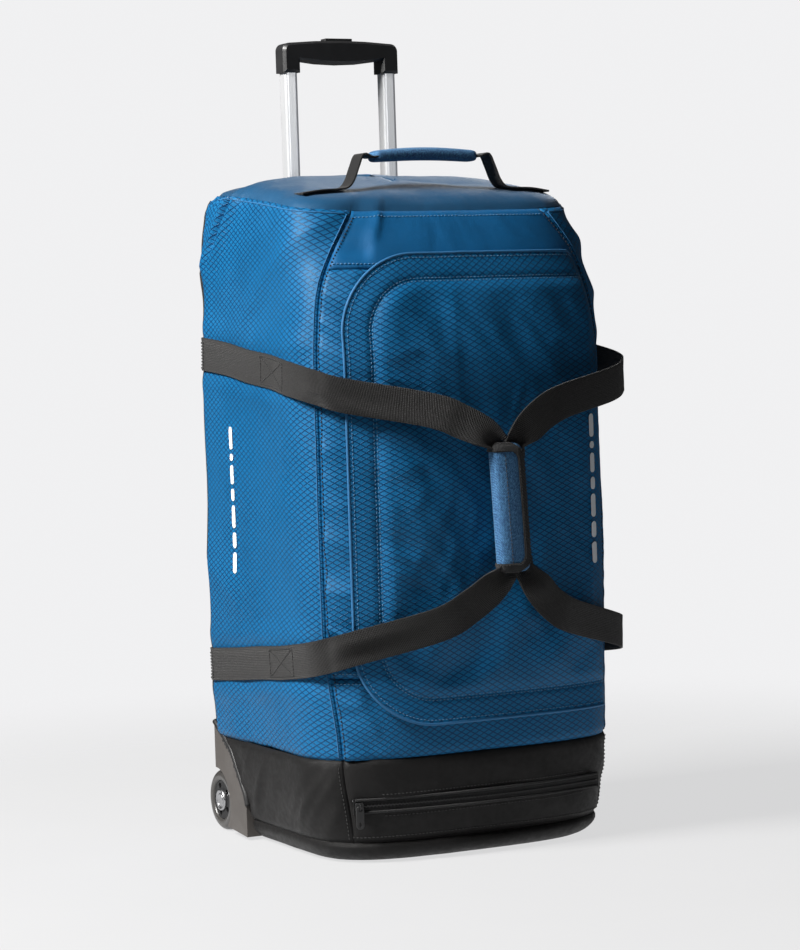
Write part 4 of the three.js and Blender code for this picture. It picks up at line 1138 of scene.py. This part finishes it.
def strap_stitching(level, hand, side, rows):
    """A box with a cross in it, and bars at the strap's back end."""
    parts = []
    for (a0, c0), (a1, c1) in SEWN_LINES:
        t = np.linspace(0, 1, 24)
        path, normal = on_strap(rows, mix(a0 * MM, a1 * MM, t), mix(c0, c1, t))
        normal = normal * (1 if normal[0, 0] * side >= 0 else -1)
        parts.append(stitches(path + normal * 1.3 * MM, normal, DARK_THREAD, 3.6 * MM, 0.6 * MM))
    made = join_objects(f"strap_stitching_{level}_{hand}", parts)


# The grab handle's strap: distance from the middle, and height over the top cloth or the sleeve's middle.
GRAB_FOOT = ((156, 2.6), (134, 2.6), (110, 3.0), (99, 5), (92, 13), (86, 27), (79, 40))
GRAB_TOP = ((67, -2.0), (52, 0.0))


def grab_handle():
    """The two straps of the short handle on top."""
    low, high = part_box("grab_sleeve")
    y, rise = (low.y + high.y) / 2, (low.z + high.z) / 2
    widths = ACROSS * GRAB_WIDTH
    find = caster(bpy.data.objects["cloth_top"])
    for name, side in SIDES:
        heights = []
        for x, lift in GRAB_FOOT:
            foot = Vector((side * x * MM, y, 0.7))
            ground = find(foot + Vector((0, 0, 0.3)), foot, 0)[0][2]
            heights.append((x, ground + (lift - 1.2) * MM))
        heights += [(x, rise + over * MM) for x, over in GRAB_TOP]
        frames = [np.stack([side * x * MM + 0 * widths, y + widths, z + 0 * widths], -1) for x, z in heights]
        made = strap_object(f"webbing_grab_{name}", smooth_rows(frames, 2.5 * MM, side), WEBBING)
        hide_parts(f"grab_strap_{name}")


# ---------------------------------------------------------------- padded pieces

BLOCK_SIDES = 56
BLOCK_POWER = 4.0
BLOCK_END_SIZE = 0.65
PAD_FRAMES = 20
PAD_PRESSURE = 4.0
PAD_STIFFNESS = 30


def rounded_block(name, low, high, radius, step, material):
    """A closed block with rounded long edges, as even quads. Its long axis is the longest side."""
    size = np.array(high) - np.array(low)
    middle = (np.array(low) + np.array(high)) / 2
    long = int(np.argmax(size))
    a, b = [k for k in range(3) if k != long]
    turn = np.linspace(0, 2 * math.pi, BLOCK_SIDES, endpoint=False)
    round_a = (np.abs(np.cos(turn)) / (size[a] / 2)) ** BLOCK_POWER
    round_b = (np.abs(np.sin(turn)) / (size[b] / 2)) ** BLOCK_POWER
    reach = (round_a + round_b) ** (-1 / BLOCK_POWER)
    count = int(size[long] / step)
    rows = np.empty((count, BLOCK_SIDES, 3))
    for row, share in zip(rows, np.linspace(0, 1, count)):
        t = (share - 0.5) * size[long]
        end = np.clip((size[long] / 2 - abs(t)) / radius, 0, 1)
        grow = math.sqrt(1 - (1 - end) ** 2) * (1 - BLOCK_END_SIZE) + BLOCK_END_SIZE
        row[:, a] = middle[a] + reach * np.cos(turn) * grow
        row[:, b] = middle[b] + reach * np.sin(turn) * grow
        row[:, long] = middle[long] + t
    obj = new_object(name, rows.reshape(-1, 3), tube_faces(count, BLOCK_SIDES), material, "bag")
    fix_normals(obj)
    return obj


def apply_modifiers(obj):
    graph = bpy.context.evaluated_depsgraph_get()
    mesh = bpy.data.meshes.new_from_object(obj.evaluated_get(graph))
    obj.modifiers.clear()
    obj.data = mesh


def inflate(obj, cap, voxel):
    """Pads a closed mesh out by cloth simulation, with each point's travel capped."""
    remesh = obj.modifiers.new("remesh", "REMESH")
    remesh.mode = "VOXEL"
    remesh.voxel_size = voxel
    apply_modifiers(obj)
    start = points_of(obj)
    cloth = obj.modifiers.new("cloth", "CLOTH")
    cloth.settings.use_pressure = True
    cloth.settings.uniform_pressure_force = PAD_PRESSURE
    cloth.settings.effector_weights.gravity = 0
    cloth.settings.tension_stiffness = PAD_STIFFNESS
    cloth.settings.compression_stiffness = PAD_STIFFNESS
    cloth.point_cache.frame_start = 1
    cloth.point_cache.frame_end = PAD_FRAMES
    for number in range(1, PAD_FRAMES + 1):
        bpy.context.scene.frame_set(number)
    apply_modifiers(obj)
    travel = points_of(obj) - start
    far = np.linalg.norm(travel, axis=1, keepdims=True)
    move_points(obj, start + travel * np.minimum(1, cap / np.maximum(far, 1e-9)))
    bpy.context.scene.frame_set(1)
    smooth = obj.modifiers.new("round", "SUBSURF")
    smooth.levels = smooth.render_levels = 1
    obj.data.polygons.foreach_set("use_smooth", [True] * len(obj.data.polygons))
    obj.data.update()


# ---------------------------------------------------------------- the grip that joins the carry straps

GRIP_RADIUS = 16 * MM
GRIP_BACK_RUN = -40 * MM
FLAP_RUN = 15.5 * MM
FLAP_CORNER = 14 * MM
FLAP_SEAM_RUN = -9 * MM
BINDING_WIDTH = 9.5 * MM
GRIP_SQUEEZE = 0.9
GRIP_SHIFT_FOOT, GRIP_SHIFT_HEAD = 10.5 * MM, 3.5 * MM


def around_grip(find, middle, run, z, lift):
    """A point of the grip and its normal: run metres round it from its front, at height z."""
    angle = run / GRIP_RADIUS
    target = Vector((middle.x, middle.y, z))
    return find(target + Vector((math.sin(angle), -math.cos(angle), 0)) * 0.1, target, lift)


def lean_grip(*pieces):
    """The grip hangs a little askew: its foot is pulled to the right of its head."""
    low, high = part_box("handle_wrap")
    for piece in pieces:
        points = points_of(piece)
        share = (points[:, 2] - low.z) / (high.z - low.z)
        shift = mix(GRIP_SHIFT_FOOT, GRIP_SHIFT_HEAD, share)
        points[:, 0] = low.x + GRIP_SQUEEZE * (points[:, 0] - low.x) + shift
        move_points(piece, points)


def grip_tabs(low, high, middle):
    """Two folded ends of tape at the grip's right edge."""
    tabs = []
    x = middle.x + 0.5 * (high.x - low.x)
    for z in (high.z - 9 * MM, low.z + 9 * MM):
        corner = Vector((x - 9 * MM, middle.y - 3.5 * MM, z - 9 * MM))
        tab = rounded_block("tab", corner, corner + Vector((15, 4.5, 18)) * MM, 3 * MM, 2 * MM, BINDING)
        uv_from_front(tab)
        tabs.append(tab)
    tabs = join_objects("grip_tabs", tabs)
    return tabs


def carry_grip():
    """The padded grip that joins the carry straps, bound with tape on three edges of its closing flap."""
    low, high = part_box("handle_wrap")
    grow = Vector((1, 0.5, 0)) * MM
    grip = rounded_block("padded_grip", low - grow, high + grow, 10 * MM, 4 * MM, TWILL)
    inflate(grip, 3 * MM, 4.5 * MM)
    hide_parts("handle_wrap")
    find = caster(grip)
    middle = (low + high) / 2
    turn = np.linspace(0, math.pi / 2, 14)
    top = high.z - BINDING_WIDTH / 2 - 1 * MM
    bottom = low.z + BINDING_WIDTH / 2 + 1 * MM
    inner = FLAP_RUN - FLAP_CORNER
    across, down = FLAP_CORNER * np.sin(turn), FLAP_CORNER * np.cos(turn)
    run = np.r_[GRIP_BACK_RUN, inner + across, inner + down, GRIP_BACK_RUN]
    height = np.r_[top, top - FLAP_CORNER + down, bottom + FLAP_CORNER - across, bottom]
    line = resample(np.stack([run, height], -1), 2 * MM)
    tangent = unit(np.gradient(line, axis=0))
    side = np.stack([-tangent[:, 1], tangent[:, 0]], -1)

    def beside(offset, lift):
        """Points and normals of the grip along the binding's middle line, offset across it."""
        found = [around_grip(find, middle, r, h, lift) for r, h in line + side * offset]
        return [f[0] for f in found], [f[1] for f in found]

    columns = [beside(offset, (0.9 + 0.5 * (1 - (2 * offset / BINDING_WIDTH) ** 2)) * MM)[0]
               for offset in np.linspace(-0.5, 0.5, 5) * BINDING_WIDTH]
    band = strap_object("grip_binding", np.stack(columns, 1), BINDING, 1.4 * MM)
    seams = [stitches(*beside(share * BINDING_WIDTH, 1.9 * MM), DARK_THREAD, 3.6 * MM)
             for share in (-0.36, 0.36)]
    heights = np.arange(bottom + 6 * MM, top - 6 * MM, 3 * MM)
    found = [around_grip(find, middle, FLAP_SEAM_RUN, h, 0.2 * MM) for h in heights]
    seams.append(stitches([f[0] for f in found], [f[1] for f in found], DARK_THREAD, 4 * MM))
    sewn = join_objects("grip_stitching", seams)
    lean_grip(grip, band, sewn, grip_tabs(low, high, middle))


def top_sleeve():
    """The padded sleeve of the grab handle, arched a little."""
    low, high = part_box("grab_sleeve")
    grow = Vector((0, -0.5, 1.0)) * MM
    sleeve = rounded_block("padded_sleeve", low - grow, high + grow, 6 * MM, 3 * MM, TWILL)
    inflate(sleeve, 2 * MM, 2.4 * MM)
    arch = points_of(sleeve)
    share = np.clip((arch[:, 0] - low.x) / (high.x - low.x), 0, 1)
    arch[:, 2] += 3 * MM * np.sin(share * math.pi) - 1.5 * MM
    move_points(sleeve, arch)
    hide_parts("grab_sleeve")


# ---------------------------------------------------------------- printed marks

BAR_LENGTHS = (26, 8, 22, 14, 26, 18, 24)
BAR_GAP = 5
BAR_WIDTH = 8 * MM
BAR_RINGS = 4
SIDE_BARS_PLACE, SIDE_BARS_TOP = -0.80, 0.478
LID_BARS_X, LID_BARS_TOP = 0.140, 0.482


def rounded_rectangle(centre_x, centre_z, width, height, corner, steps):
    """A rounded rectangle as points, with so many steps round each corner."""
    outline = []
    for cx, cz, start in ((1, 1, 0), (-1, 1, 90), (-1, -1, 180), (1, -1, 270)):
        for k in range(steps + 1):
            a = math.radians(start + 90 * k / steps)
            outline.append((centre_x + cx * (width / 2 - corner) + corner * math.cos(a),
                            centre_z + cz * (height / 2 - corner) + corner * math.sin(a)))
    return outline


def marks():
    """A plain row of reflective bars down the left side and down the lid's right part."""
    verts, faces = [], []

    def on_side(run, z):
        return skin(float(place_of(run)), z, 0.7 * MM)

    def on_lid(x, z):
        return lid_point(np.array([[x]]), np.array([[z]]), 1.0 * MM)[0][0, 0]

    def bar(surface, centre, low, high):
        outline = rounded_rectangle(0, 0, BAR_WIDTH, high - low, 0.45 * BAR_WIDTH, 4)
        base, n = len(verts), len(outline)
        for share in np.linspace(1, 0, BAR_RINGS):
            verts.extend(surface(centre + dx * share, (low + high) / 2 + dz * share) for dx, dz in outline)
        rings = grid_faces(BAR_RINGS - 1, n, closed=True)
        faces.extend(tuple(base + i for i in reversed(f)) for f in rings)
        faces.append(tuple(base + (BAR_RINGS - 2) * n + i for i in reversed(range(n))))

    side_run = float(arc(SIDE_BARS_PLACE))
    for surface, centre, z in ((on_side, side_run, SIDE_BARS_TOP), (on_lid, LID_BARS_X, LID_BARS_TOP)):
        for length in BAR_LENGTHS:
            bar(surface, centre, z - length * MM, z)
            z -= (length + BAR_GAP) * MM
    made = new_object("reflective_bars", verts, faces, REFLECTIVE, "bag", smooth=False)
    fix_normals(made)
    solid = made.modifiers.new("thickness", "SOLIDIFY")
    solid.thickness = 0.5 * MM
    solid.offset = 0


# ---------------------------------------------------------------- back

BACK_BULGE = 16 * MM
BACK_ROWS, BACK_COLUMNS = 150, 90
BACK_GROOVE_X = 92 * MM
BACK_STITCH_X = 98 * MM
PIPING_LOW, PIPING_HIGH, PIPING_POINTS = 132, 737, 140
PIPING_RADIUS = 4.2 * MM


def back_bulge(share):
    """Depth of the back cover behind the back edge, by its share of the half width."""
    return BACK_Y + BACK_BULGE * (1 - share ** 4) ** 0.6


def back_cover():
    """The cloth over the trolley's tubes, with a groove and a row of stitches along each of them."""
    low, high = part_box("back_cover")
    heights = np.linspace(low.z, high.z, BACK_ROWS)[:, None]
    share = np.linspace(1, -1, BACK_COLUMNS)[None, :]
    x = mix(wall(-1.0, heights)[..., 0] + 1 * MM, wall(1.0, heights)[..., 0] - 1 * MM, (share + 1) / 2)
    y = back_bulge(share) * np.ones_like(heights)
    ends = np.minimum(heights - low.z, high.z - heights)
    y += ramp(ends / (25 * MM)) * (1 - share ** 4) * layered(folds, BACK_FOLDS, x, heights)
    y -= 2 * MM * np.exp(-((np.abs(x) - BACK_GROOVE_X) / (3 * MM)) ** 2) * ramp(ends / (10 * MM))
    points = np.stack([x, y, heights * np.ones_like(share)], -1)
    made = sheet_object("cloth_back", points, np.stack([x, points[..., 2]], -1), BASE)
    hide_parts("back_cover")
    rows = []
    for _, side in SIDES:
        z = np.arange(low.z + 12 * MM, high.z - 12 * MM, 3 * MM)
        xs = np.full_like(z, side * BACK_STITCH_X)
        ys = back_bulge(xs / (wall(np.ones_like(z), z)[..., 0] - 1 * MM)) + 0.3 * MM
        rows.append(stitches(np.stack([xs, ys, z], -1), (0, 1, 0), GREY_THREAD, 5 * MM))
    join_objects("back_stitching", rows)


def back_piping():
    for name, side in SIDES:
        z = np.linspace(PIPING_LOW, PIPING_HIGH, PIPING_POINTS) * MM
        path = skin(np.full_like(z, side * BINDING_PLACE), z, 1.2 * MM)
        made = tube_object(f"piping_back_{name}", path, PIPING_RADIUS, BINDING, sides=12)
        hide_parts(f"back_piping_{name}")


# ---------------------------------------------------------------- hardware that Blender draws

# The right half of a tyre's section past its tread: radius in mm and share of the half width.
TYRE_WALL = ((31, 0.97), (27.5, 1), (25, 0.96), (23, 0.9))
TREAD_HALF = 0.86
TREAD_POINTS = 25
# The hub's ring: radius and distance out from the tyre's face, in mm.
HUB_SECTION = ((12.5, -4.0), (12.5, 0.0), (11.2, 0.5), (9.4, 0.3), (9.2, -0.6), (7.4, -0.6), (7.2, 0.5),
               (7.0, 0.5), (7.0, -4.0))
RIM_X = 185.5 * MM
# The base pocket's zip follows a circle round an upright axis, as its CAD tape does.
ZIP_RADIUS = 600 * MM
ZIP_CENTRE_Y = 440 * MM
ZIP_FACE = ZIP_RADIUS + 2.4 * MM
ZIP_STEP = 2.0 * MM
ZIP_END_ANGLE = 0.004


def lathe(name, profile, centre, material, body, steps):
    """A closed ring about the wheel's axis. The profile's points are (radius, x)."""
    turn = np.linspace(0, 2 * math.pi, steps, endpoint=False)
    points = np.empty((len(profile), steps, 3))
    for row, (radius, x) in zip(points, profile):
        row[:, 0] = centre.x + x
        row[:, 1] = centre.y + radius * np.cos(turn)
        row[:, 2] = centre.z + radius * np.sin(turn)
    faces = grid_faces(len(profile), steps, closed=True)
    last = (len(profile) - 1) * steps
    faces += [(last + c, last + (c + 1) % steps, (c + 1) % steps, c) for c in range(steps)]
    obj = new_object(name, points.reshape(-1, 3), faces, material, body)
    fix_normals(obj)
    return obj


def wheels():
    """The tyres, with two grooves in the tread, and a steel ring round each hub."""
    for name, side in SIDES:
        low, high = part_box(f"tyre_{name}")
        centre = (low + high) / 2
        radius, half = (high.z - low.z) / 2, (high.x - low.x) / 2
        across = np.linspace(-1, 1, TREAD_POINTS)
        crown = radius - 3.2 * MM * np.abs(across) ** 3.2
        groove = 0.9 * MM * bump_at(np.abs(across), 0.42, 0.07)
        tread = list(zip(crown - groove, across * TREAD_HALF * half))
        right = [(r * MM, half * share) for r, share in TYRE_WALL]
        profile = [(r, -x) for r, x in reversed(right)] + tread + right
        tyre = lathe(f"rubber_tyre_{name}", profile, centre, TYRE, f"wheel_{name}", 96)
        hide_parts(f"tyre_{name}")
        outer = half + 0.6 * MM
        section = [(r * MM, side * (outer + x * MM)) for r, x in HUB_SECTION]
        hub = lathe(f"hub_ring_{name}", section, centre, STEEL, f"wheel_{name}", 64)


def housing_trim():
    """The thick rim that covers the edge of the base cloth over each wheel housing."""
    for name, side in SIDES:
        line = catmull([(side * RIM_X, y, z + 2.6 * MM) for y, z in HOUSING_RIM], 2 * MM)
        rim = tube_object(f"housing_rim_{name}", line, 3.6 * MM, SOFT_BLACK, sides=14)


def on_zip(angle, lift, z):
    """A point of the pocket zip, lift outside its face."""
    reach = ZIP_FACE + lift
    return reach * math.sin(angle), ZIP_CENTRE_Y - reach * math.cos(angle), z


def pocket_zip():
    """Coil and edge cords of the base pocket's zip."""
    low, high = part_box("pocket_zip_tape")
    reach = math.asin(high.x / ZIP_FACE) - ZIP_END_ANGLE
    angles = np.arange(-reach, reach, ZIP_STEP / ZIP_FACE)
    middle = (low.z + high.z) / 2
    coil = [on_zip(a, 0.35 * MM, middle + (0.9 * MM if k % 2 else -0.9 * MM)) for k, a in enumerate(angles)]
    made = tube_object("pocket_zip_coil", coil, 0.8 * MM, BLACK, sides=6)
    for name, z in (("lower", low.z + 1.6 * MM), ("upper", high.z - 1.6 * MM)):
        path = [on_zip(a, 0.3 * MM, z) for a in angles]
        cord = tube_object(f"pocket_zip_edge_{name}", path, 1.5 * MM, BINDING)


def plate(name, outlines, origin, thick, material, body):
    """A flat upright plate with eased edges. Its first outline is the rim and the others are holes."""
    curve = bpy.data.curves.new(name, "CURVE")
    curve.dimensions = "2D"
    curve.fill_mode = "BOTH"
    curve.bevel_depth = 0.35 * MM
    curve.bevel_resolution = 2
    curve.extrude = thick / 2 - curve.bevel_depth
    curve.offset = -curve.bevel_depth
    for outline in outlines:
        spline = curve.splines.new("POLY")
        spline.points.add(len(outline) - 1)
        spline.points.foreach_set("co", [c for x, z in outline for c in (x, z, 0, 1)])
        spline.use_cyclic_u = True
    shaper = bpy.data.objects.new(name, curve)
    bpy.context.scene.collection.objects.link(shaper)
    mesh = bpy.data.meshes.new_from_object(shaper.evaluated_get(bpy.context.evaluated_depsgraph_get()))
    bpy.data.objects.remove(shaper)
    mesh.transform(Matrix.Translation(origin) @ Matrix.Rotation(math.pi / 2, 4, "X"))
    made = new_object(name, [], [], material, body)
    made.data = mesh
    mesh.materials.clear()
    mesh.materials.append(material)
    return made


def pocket_puller():
    """The pocket slider's pull: a rounded tab with two holes, hung from a wire bridge."""
    low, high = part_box("pocket_pull")
    width, height = high.x - low.x, high.z - low.z
    outlines = [rounded_rectangle(0, 0, width, height, 0.46 * width, 6),
                rounded_rectangle(0, 0.33 * height, 0.5 * width, 0.14 * height, 0.06 * height, 6),
                rounded_rectangle(0, -0.30 * height, 0.34 * width, 0.2 * height, 0.16 * width, 6)]
    pull = plate("pull_tab", outlines, (low + high) / 2, 1.7 * MM, BLACK, "pocket_pull")
    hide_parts("pocket_pull")
    low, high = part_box("pocket_slider")
    middle = (low + high) / 2
    front = low.y + 1.2 * MM
    arch = [(middle.x, front - 2.0 * MM * math.sin(a), middle.z - 3.6 * MM * math.cos(a))
            for a in np.linspace(0, math.pi, 15)]
    bridge = tube_object("slider_bridge", arch, 0.9 * MM, BLACK, "pocket_slider")


# ---------------------------------------------------------------- carried-over CAD nodes

NODE_MATERIALS = {
    "trolley_grip": BLACK, "trolley_button": BLACK, "handle_bezel": BLACK, "tube_foot": BLACK,
    "kick_plate": BLACK, "lock_block_": BLACK, "main_zip_slider": BLACK, "pocket_slider": BLACK,
    "wheel_core_": SOFT_BLACK, "wheel_housing_": HOUSING, "bearing_": STEEL, "axle_": STEEL,
    "push_rod_": STEEL, "outer_tube_": ALUMINIUM, "trolley_tube_": ALUMINIUM, "pocket_liner": BASE,
    "main_zip_tape": TAPE, "pocket_zip_tape": TAPE, "back_board": BOARD, "base_board": BOARD,
}
# Width of the eased edges, in mm.
ROUNDED = {"trolley_grip": 2.2, "trolley_button": 1.2, "handle_bezel": 1.5, "wheel_housing_left": 1.6,
           "wheel_housing_right": 1.6, "kick_plate": 2.0, "pocket_slider": 0.9, "main_zip_slider": 0.8,
           "tube_foot": 1.5, "wheel_core_left": 0.6, "wheel_core_right": 0.6, "axle_left": 0.5,
           "axle_right": 0.5}


def dress_cad_nodes():
    """Procedural materials and eased edges for the CAD nodes that stay."""
    for name, node in frame["nodes"].items():
        if node.hide_render:
            continue
        material = next(m for prefix, m in NODE_MATERIALS.items() if name.startswith(prefix))
        node.data.materials.clear()
        node.data.materials.append(material)
        if material in (TAPE, BASE):
            uv_from_front(node)
        if name in ROUNDED:
            weld = node.modifiers.new("weld", "WELD")
            weld.merge_threshold = 0.01 * MM
            bevel = node.modifiers.new("eased_edges", "BEVEL")
            bevel.width = ROUNDED[name] * MM
            bevel.segments = 3
            bevel.limit_method = "ANGLE"
            bevel.angle_limit = math.radians(40)
            bevel.harden_normals = True


# ---------------------------------------------------------------- floor, light and camera

FLOOR_HALF = 12.0
FLOOR_GLOW = (0.66, 0.66, 0.665, 1)
FLOOR_GREYS = (0.105, 0.105, 0.106, 1), (0.115, 0.115, 0.116, 1)
FLOOR_FADE_START, FLOOR_FADE_END = 0.55, 1.5
# The backdrop that the camera sees, and the weaker light that it sheds.
BACKDROP = (0.875, 0.875, 0.885, 1)
SKY, SKY_STRENGTH = (0.93, 0.96, 1.0, 1), 0.05
# Name, place, target, width and power.
LIGHTS = (("key", (-2.35, -0.20, 2.30), (0, 0, 0.40), 0.9, 205),
          ("front_fill", (-1.6, -3.0, 1.9), (0, 0, 0.4), 1.2, 4.5),
          ("back_rim", (1.4, 2.4, 2.0), (0, 0, 0.7), 1.2, 6),
          ("trolley_light", (0.4, -2.6, 1.5), (0, 0.15, 0.85), 1.2, 26))
KEY_TINT = (1.0, 0.99, 0.97)
# The camera's azimuth, elevation and roll in degrees, and where it aims.
CAMERA_ANGLES = (-26.795, 3.077, -1.84)
CAMERA_DISTANCE = 3.385
CAMERA_AIM = Vector((0, 0, 0.38))
CAMERA_RIGHT, CAMERA_UP = -0.01284, 0.03495
LENS, SENSOR = 111.43, 36


def floor():
    """A pale floor that glows a little and fades into the backdrop."""
    mesh = bpy.data.meshes.new("floor")
    corners = [(FLOOR_HALF * x, FLOOR_HALF * y, 0) for x, y in ((-1, -1), (1, -1), (1, 1), (-1, 1))]
    mesh.from_pydata(corners, [], [(0, 1, 2, 3)])
    obj = bpy.data.objects.new("floor", mesh)
    bpy.context.scene.collection.objects.link(obj)
    s = Shader("pale_floor", Roughness=0.9, Specular_IOR_Level=0.1, Emission_Color=FLOOR_GLOW,
               Emission_Strength=1.0)
    s.set(Base_Color=s.mix(s.noise(6.0, 3.0), *FLOOR_GREYS))
    distance = s.node("VectorMath", {0: s.place()}, operation="LENGTH").outputs["Value"]
    s.set(Alpha=s.ramp(distance, FLOOR_FADE_START, FLOOR_FADE_END, 1.0, 0.0))
    mesh.materials.append(s.material)


def world():
    made = bpy.data.worlds.new("studio")
    bpy.context.scene.world = made
    made.use_nodes = True
    tree = made.node_tree
    tree.nodes.clear()
    output, chooser, light, seen, path = (tree.nodes.new("ShaderNode" + kind) for kind in (
        "OutputWorld", "MixShader", "Background", "Background", "LightPath"))
    light.inputs[0].default_value = SKY
    light.inputs[1].default_value = SKY_STRENGTH
    seen.inputs[0].default_value = BACKDROP
    tree.links.new(path.outputs["Is Camera Ray"], chooser.inputs[0])
    tree.links.new(light.outputs[0], chooser.inputs[1])
    tree.links.new(seen.outputs[0], chooser.inputs[2])
    tree.links.new(chooser.outputs[0], output.inputs[0])


def lights():
    """A strong key from the left, weak fills, and a light that reaches only the trolley's tubes."""
    made = {}
    for name, place, target, width, power in LIGHTS:
        data = bpy.data.lights.new(name, "AREA")
        data.size = width
        data.energy = power
        made[name] = bpy.data.objects.new(name, data)
        made[name].location = place
        made[name].rotation_euler = (Vector(target) - Vector(place)).to_track_quat("-Z", "Y").to_euler()
        bpy.context.scene.collection.objects.link(made[name])
    made["key"].data.color = KEY_TINT
    lit = bpy.data.collections.new("trolley_lit")
    for name, node in frame["nodes"].items():
        if name.startswith(("trolley_tube_", "outer_tube_")):
            lit.objects.link(node)
    made["trolley_light"].light_linking.receiver_collection = lit


def camera():
    azimuth, elevation, roll = (math.radians(a) for a in CAMERA_ANGLES)
    back = Vector((math.sin(azimuth) * math.cos(elevation), -math.cos(azimuth) * math.cos(elevation),
                   math.sin(elevation)))
    level = (-back).cross(Vector((0, 0, 1))).normalized()
    upright = level.cross(-back)
    right = math.cos(roll) * level + math.sin(roll) * upright
    up = -math.sin(roll) * level + math.cos(roll) * upright
    data = bpy.data.cameras.new("camera")
    data.lens = LENS
    data.sensor_width = SENSOR
    obj = bpy.data.objects.new("camera", data)
    obj.matrix_world = Matrix((right, up, back)).transposed().to_4x4()
    obj.location = CAMERA_AIM + right * CAMERA_RIGHT + up * CAMERA_UP + back * CAMERA_DISTANCE
    bpy.context.scene.collection.objects.link(obj)
    bpy.context.scene.camera = obj


camera()
world()
lights()
floor()
bpy.context.scene.view_settings.view_transform = "Standard"
wall_panels()
base_pillow()
top_panel()
lid()
wall_stitching()
for strap_level in ("upper", "lower"):
    for hand_name, hand_side in SIDES:
        carry_strap(strap_level, hand_name, hand_side)
grab_handle()
carry_grip()
top_sleeve()
marks()
back_cover()
back_piping()
wheels()
housing_trim()
pocket_zip()
pocket_puller()
dress_cad_nodes()
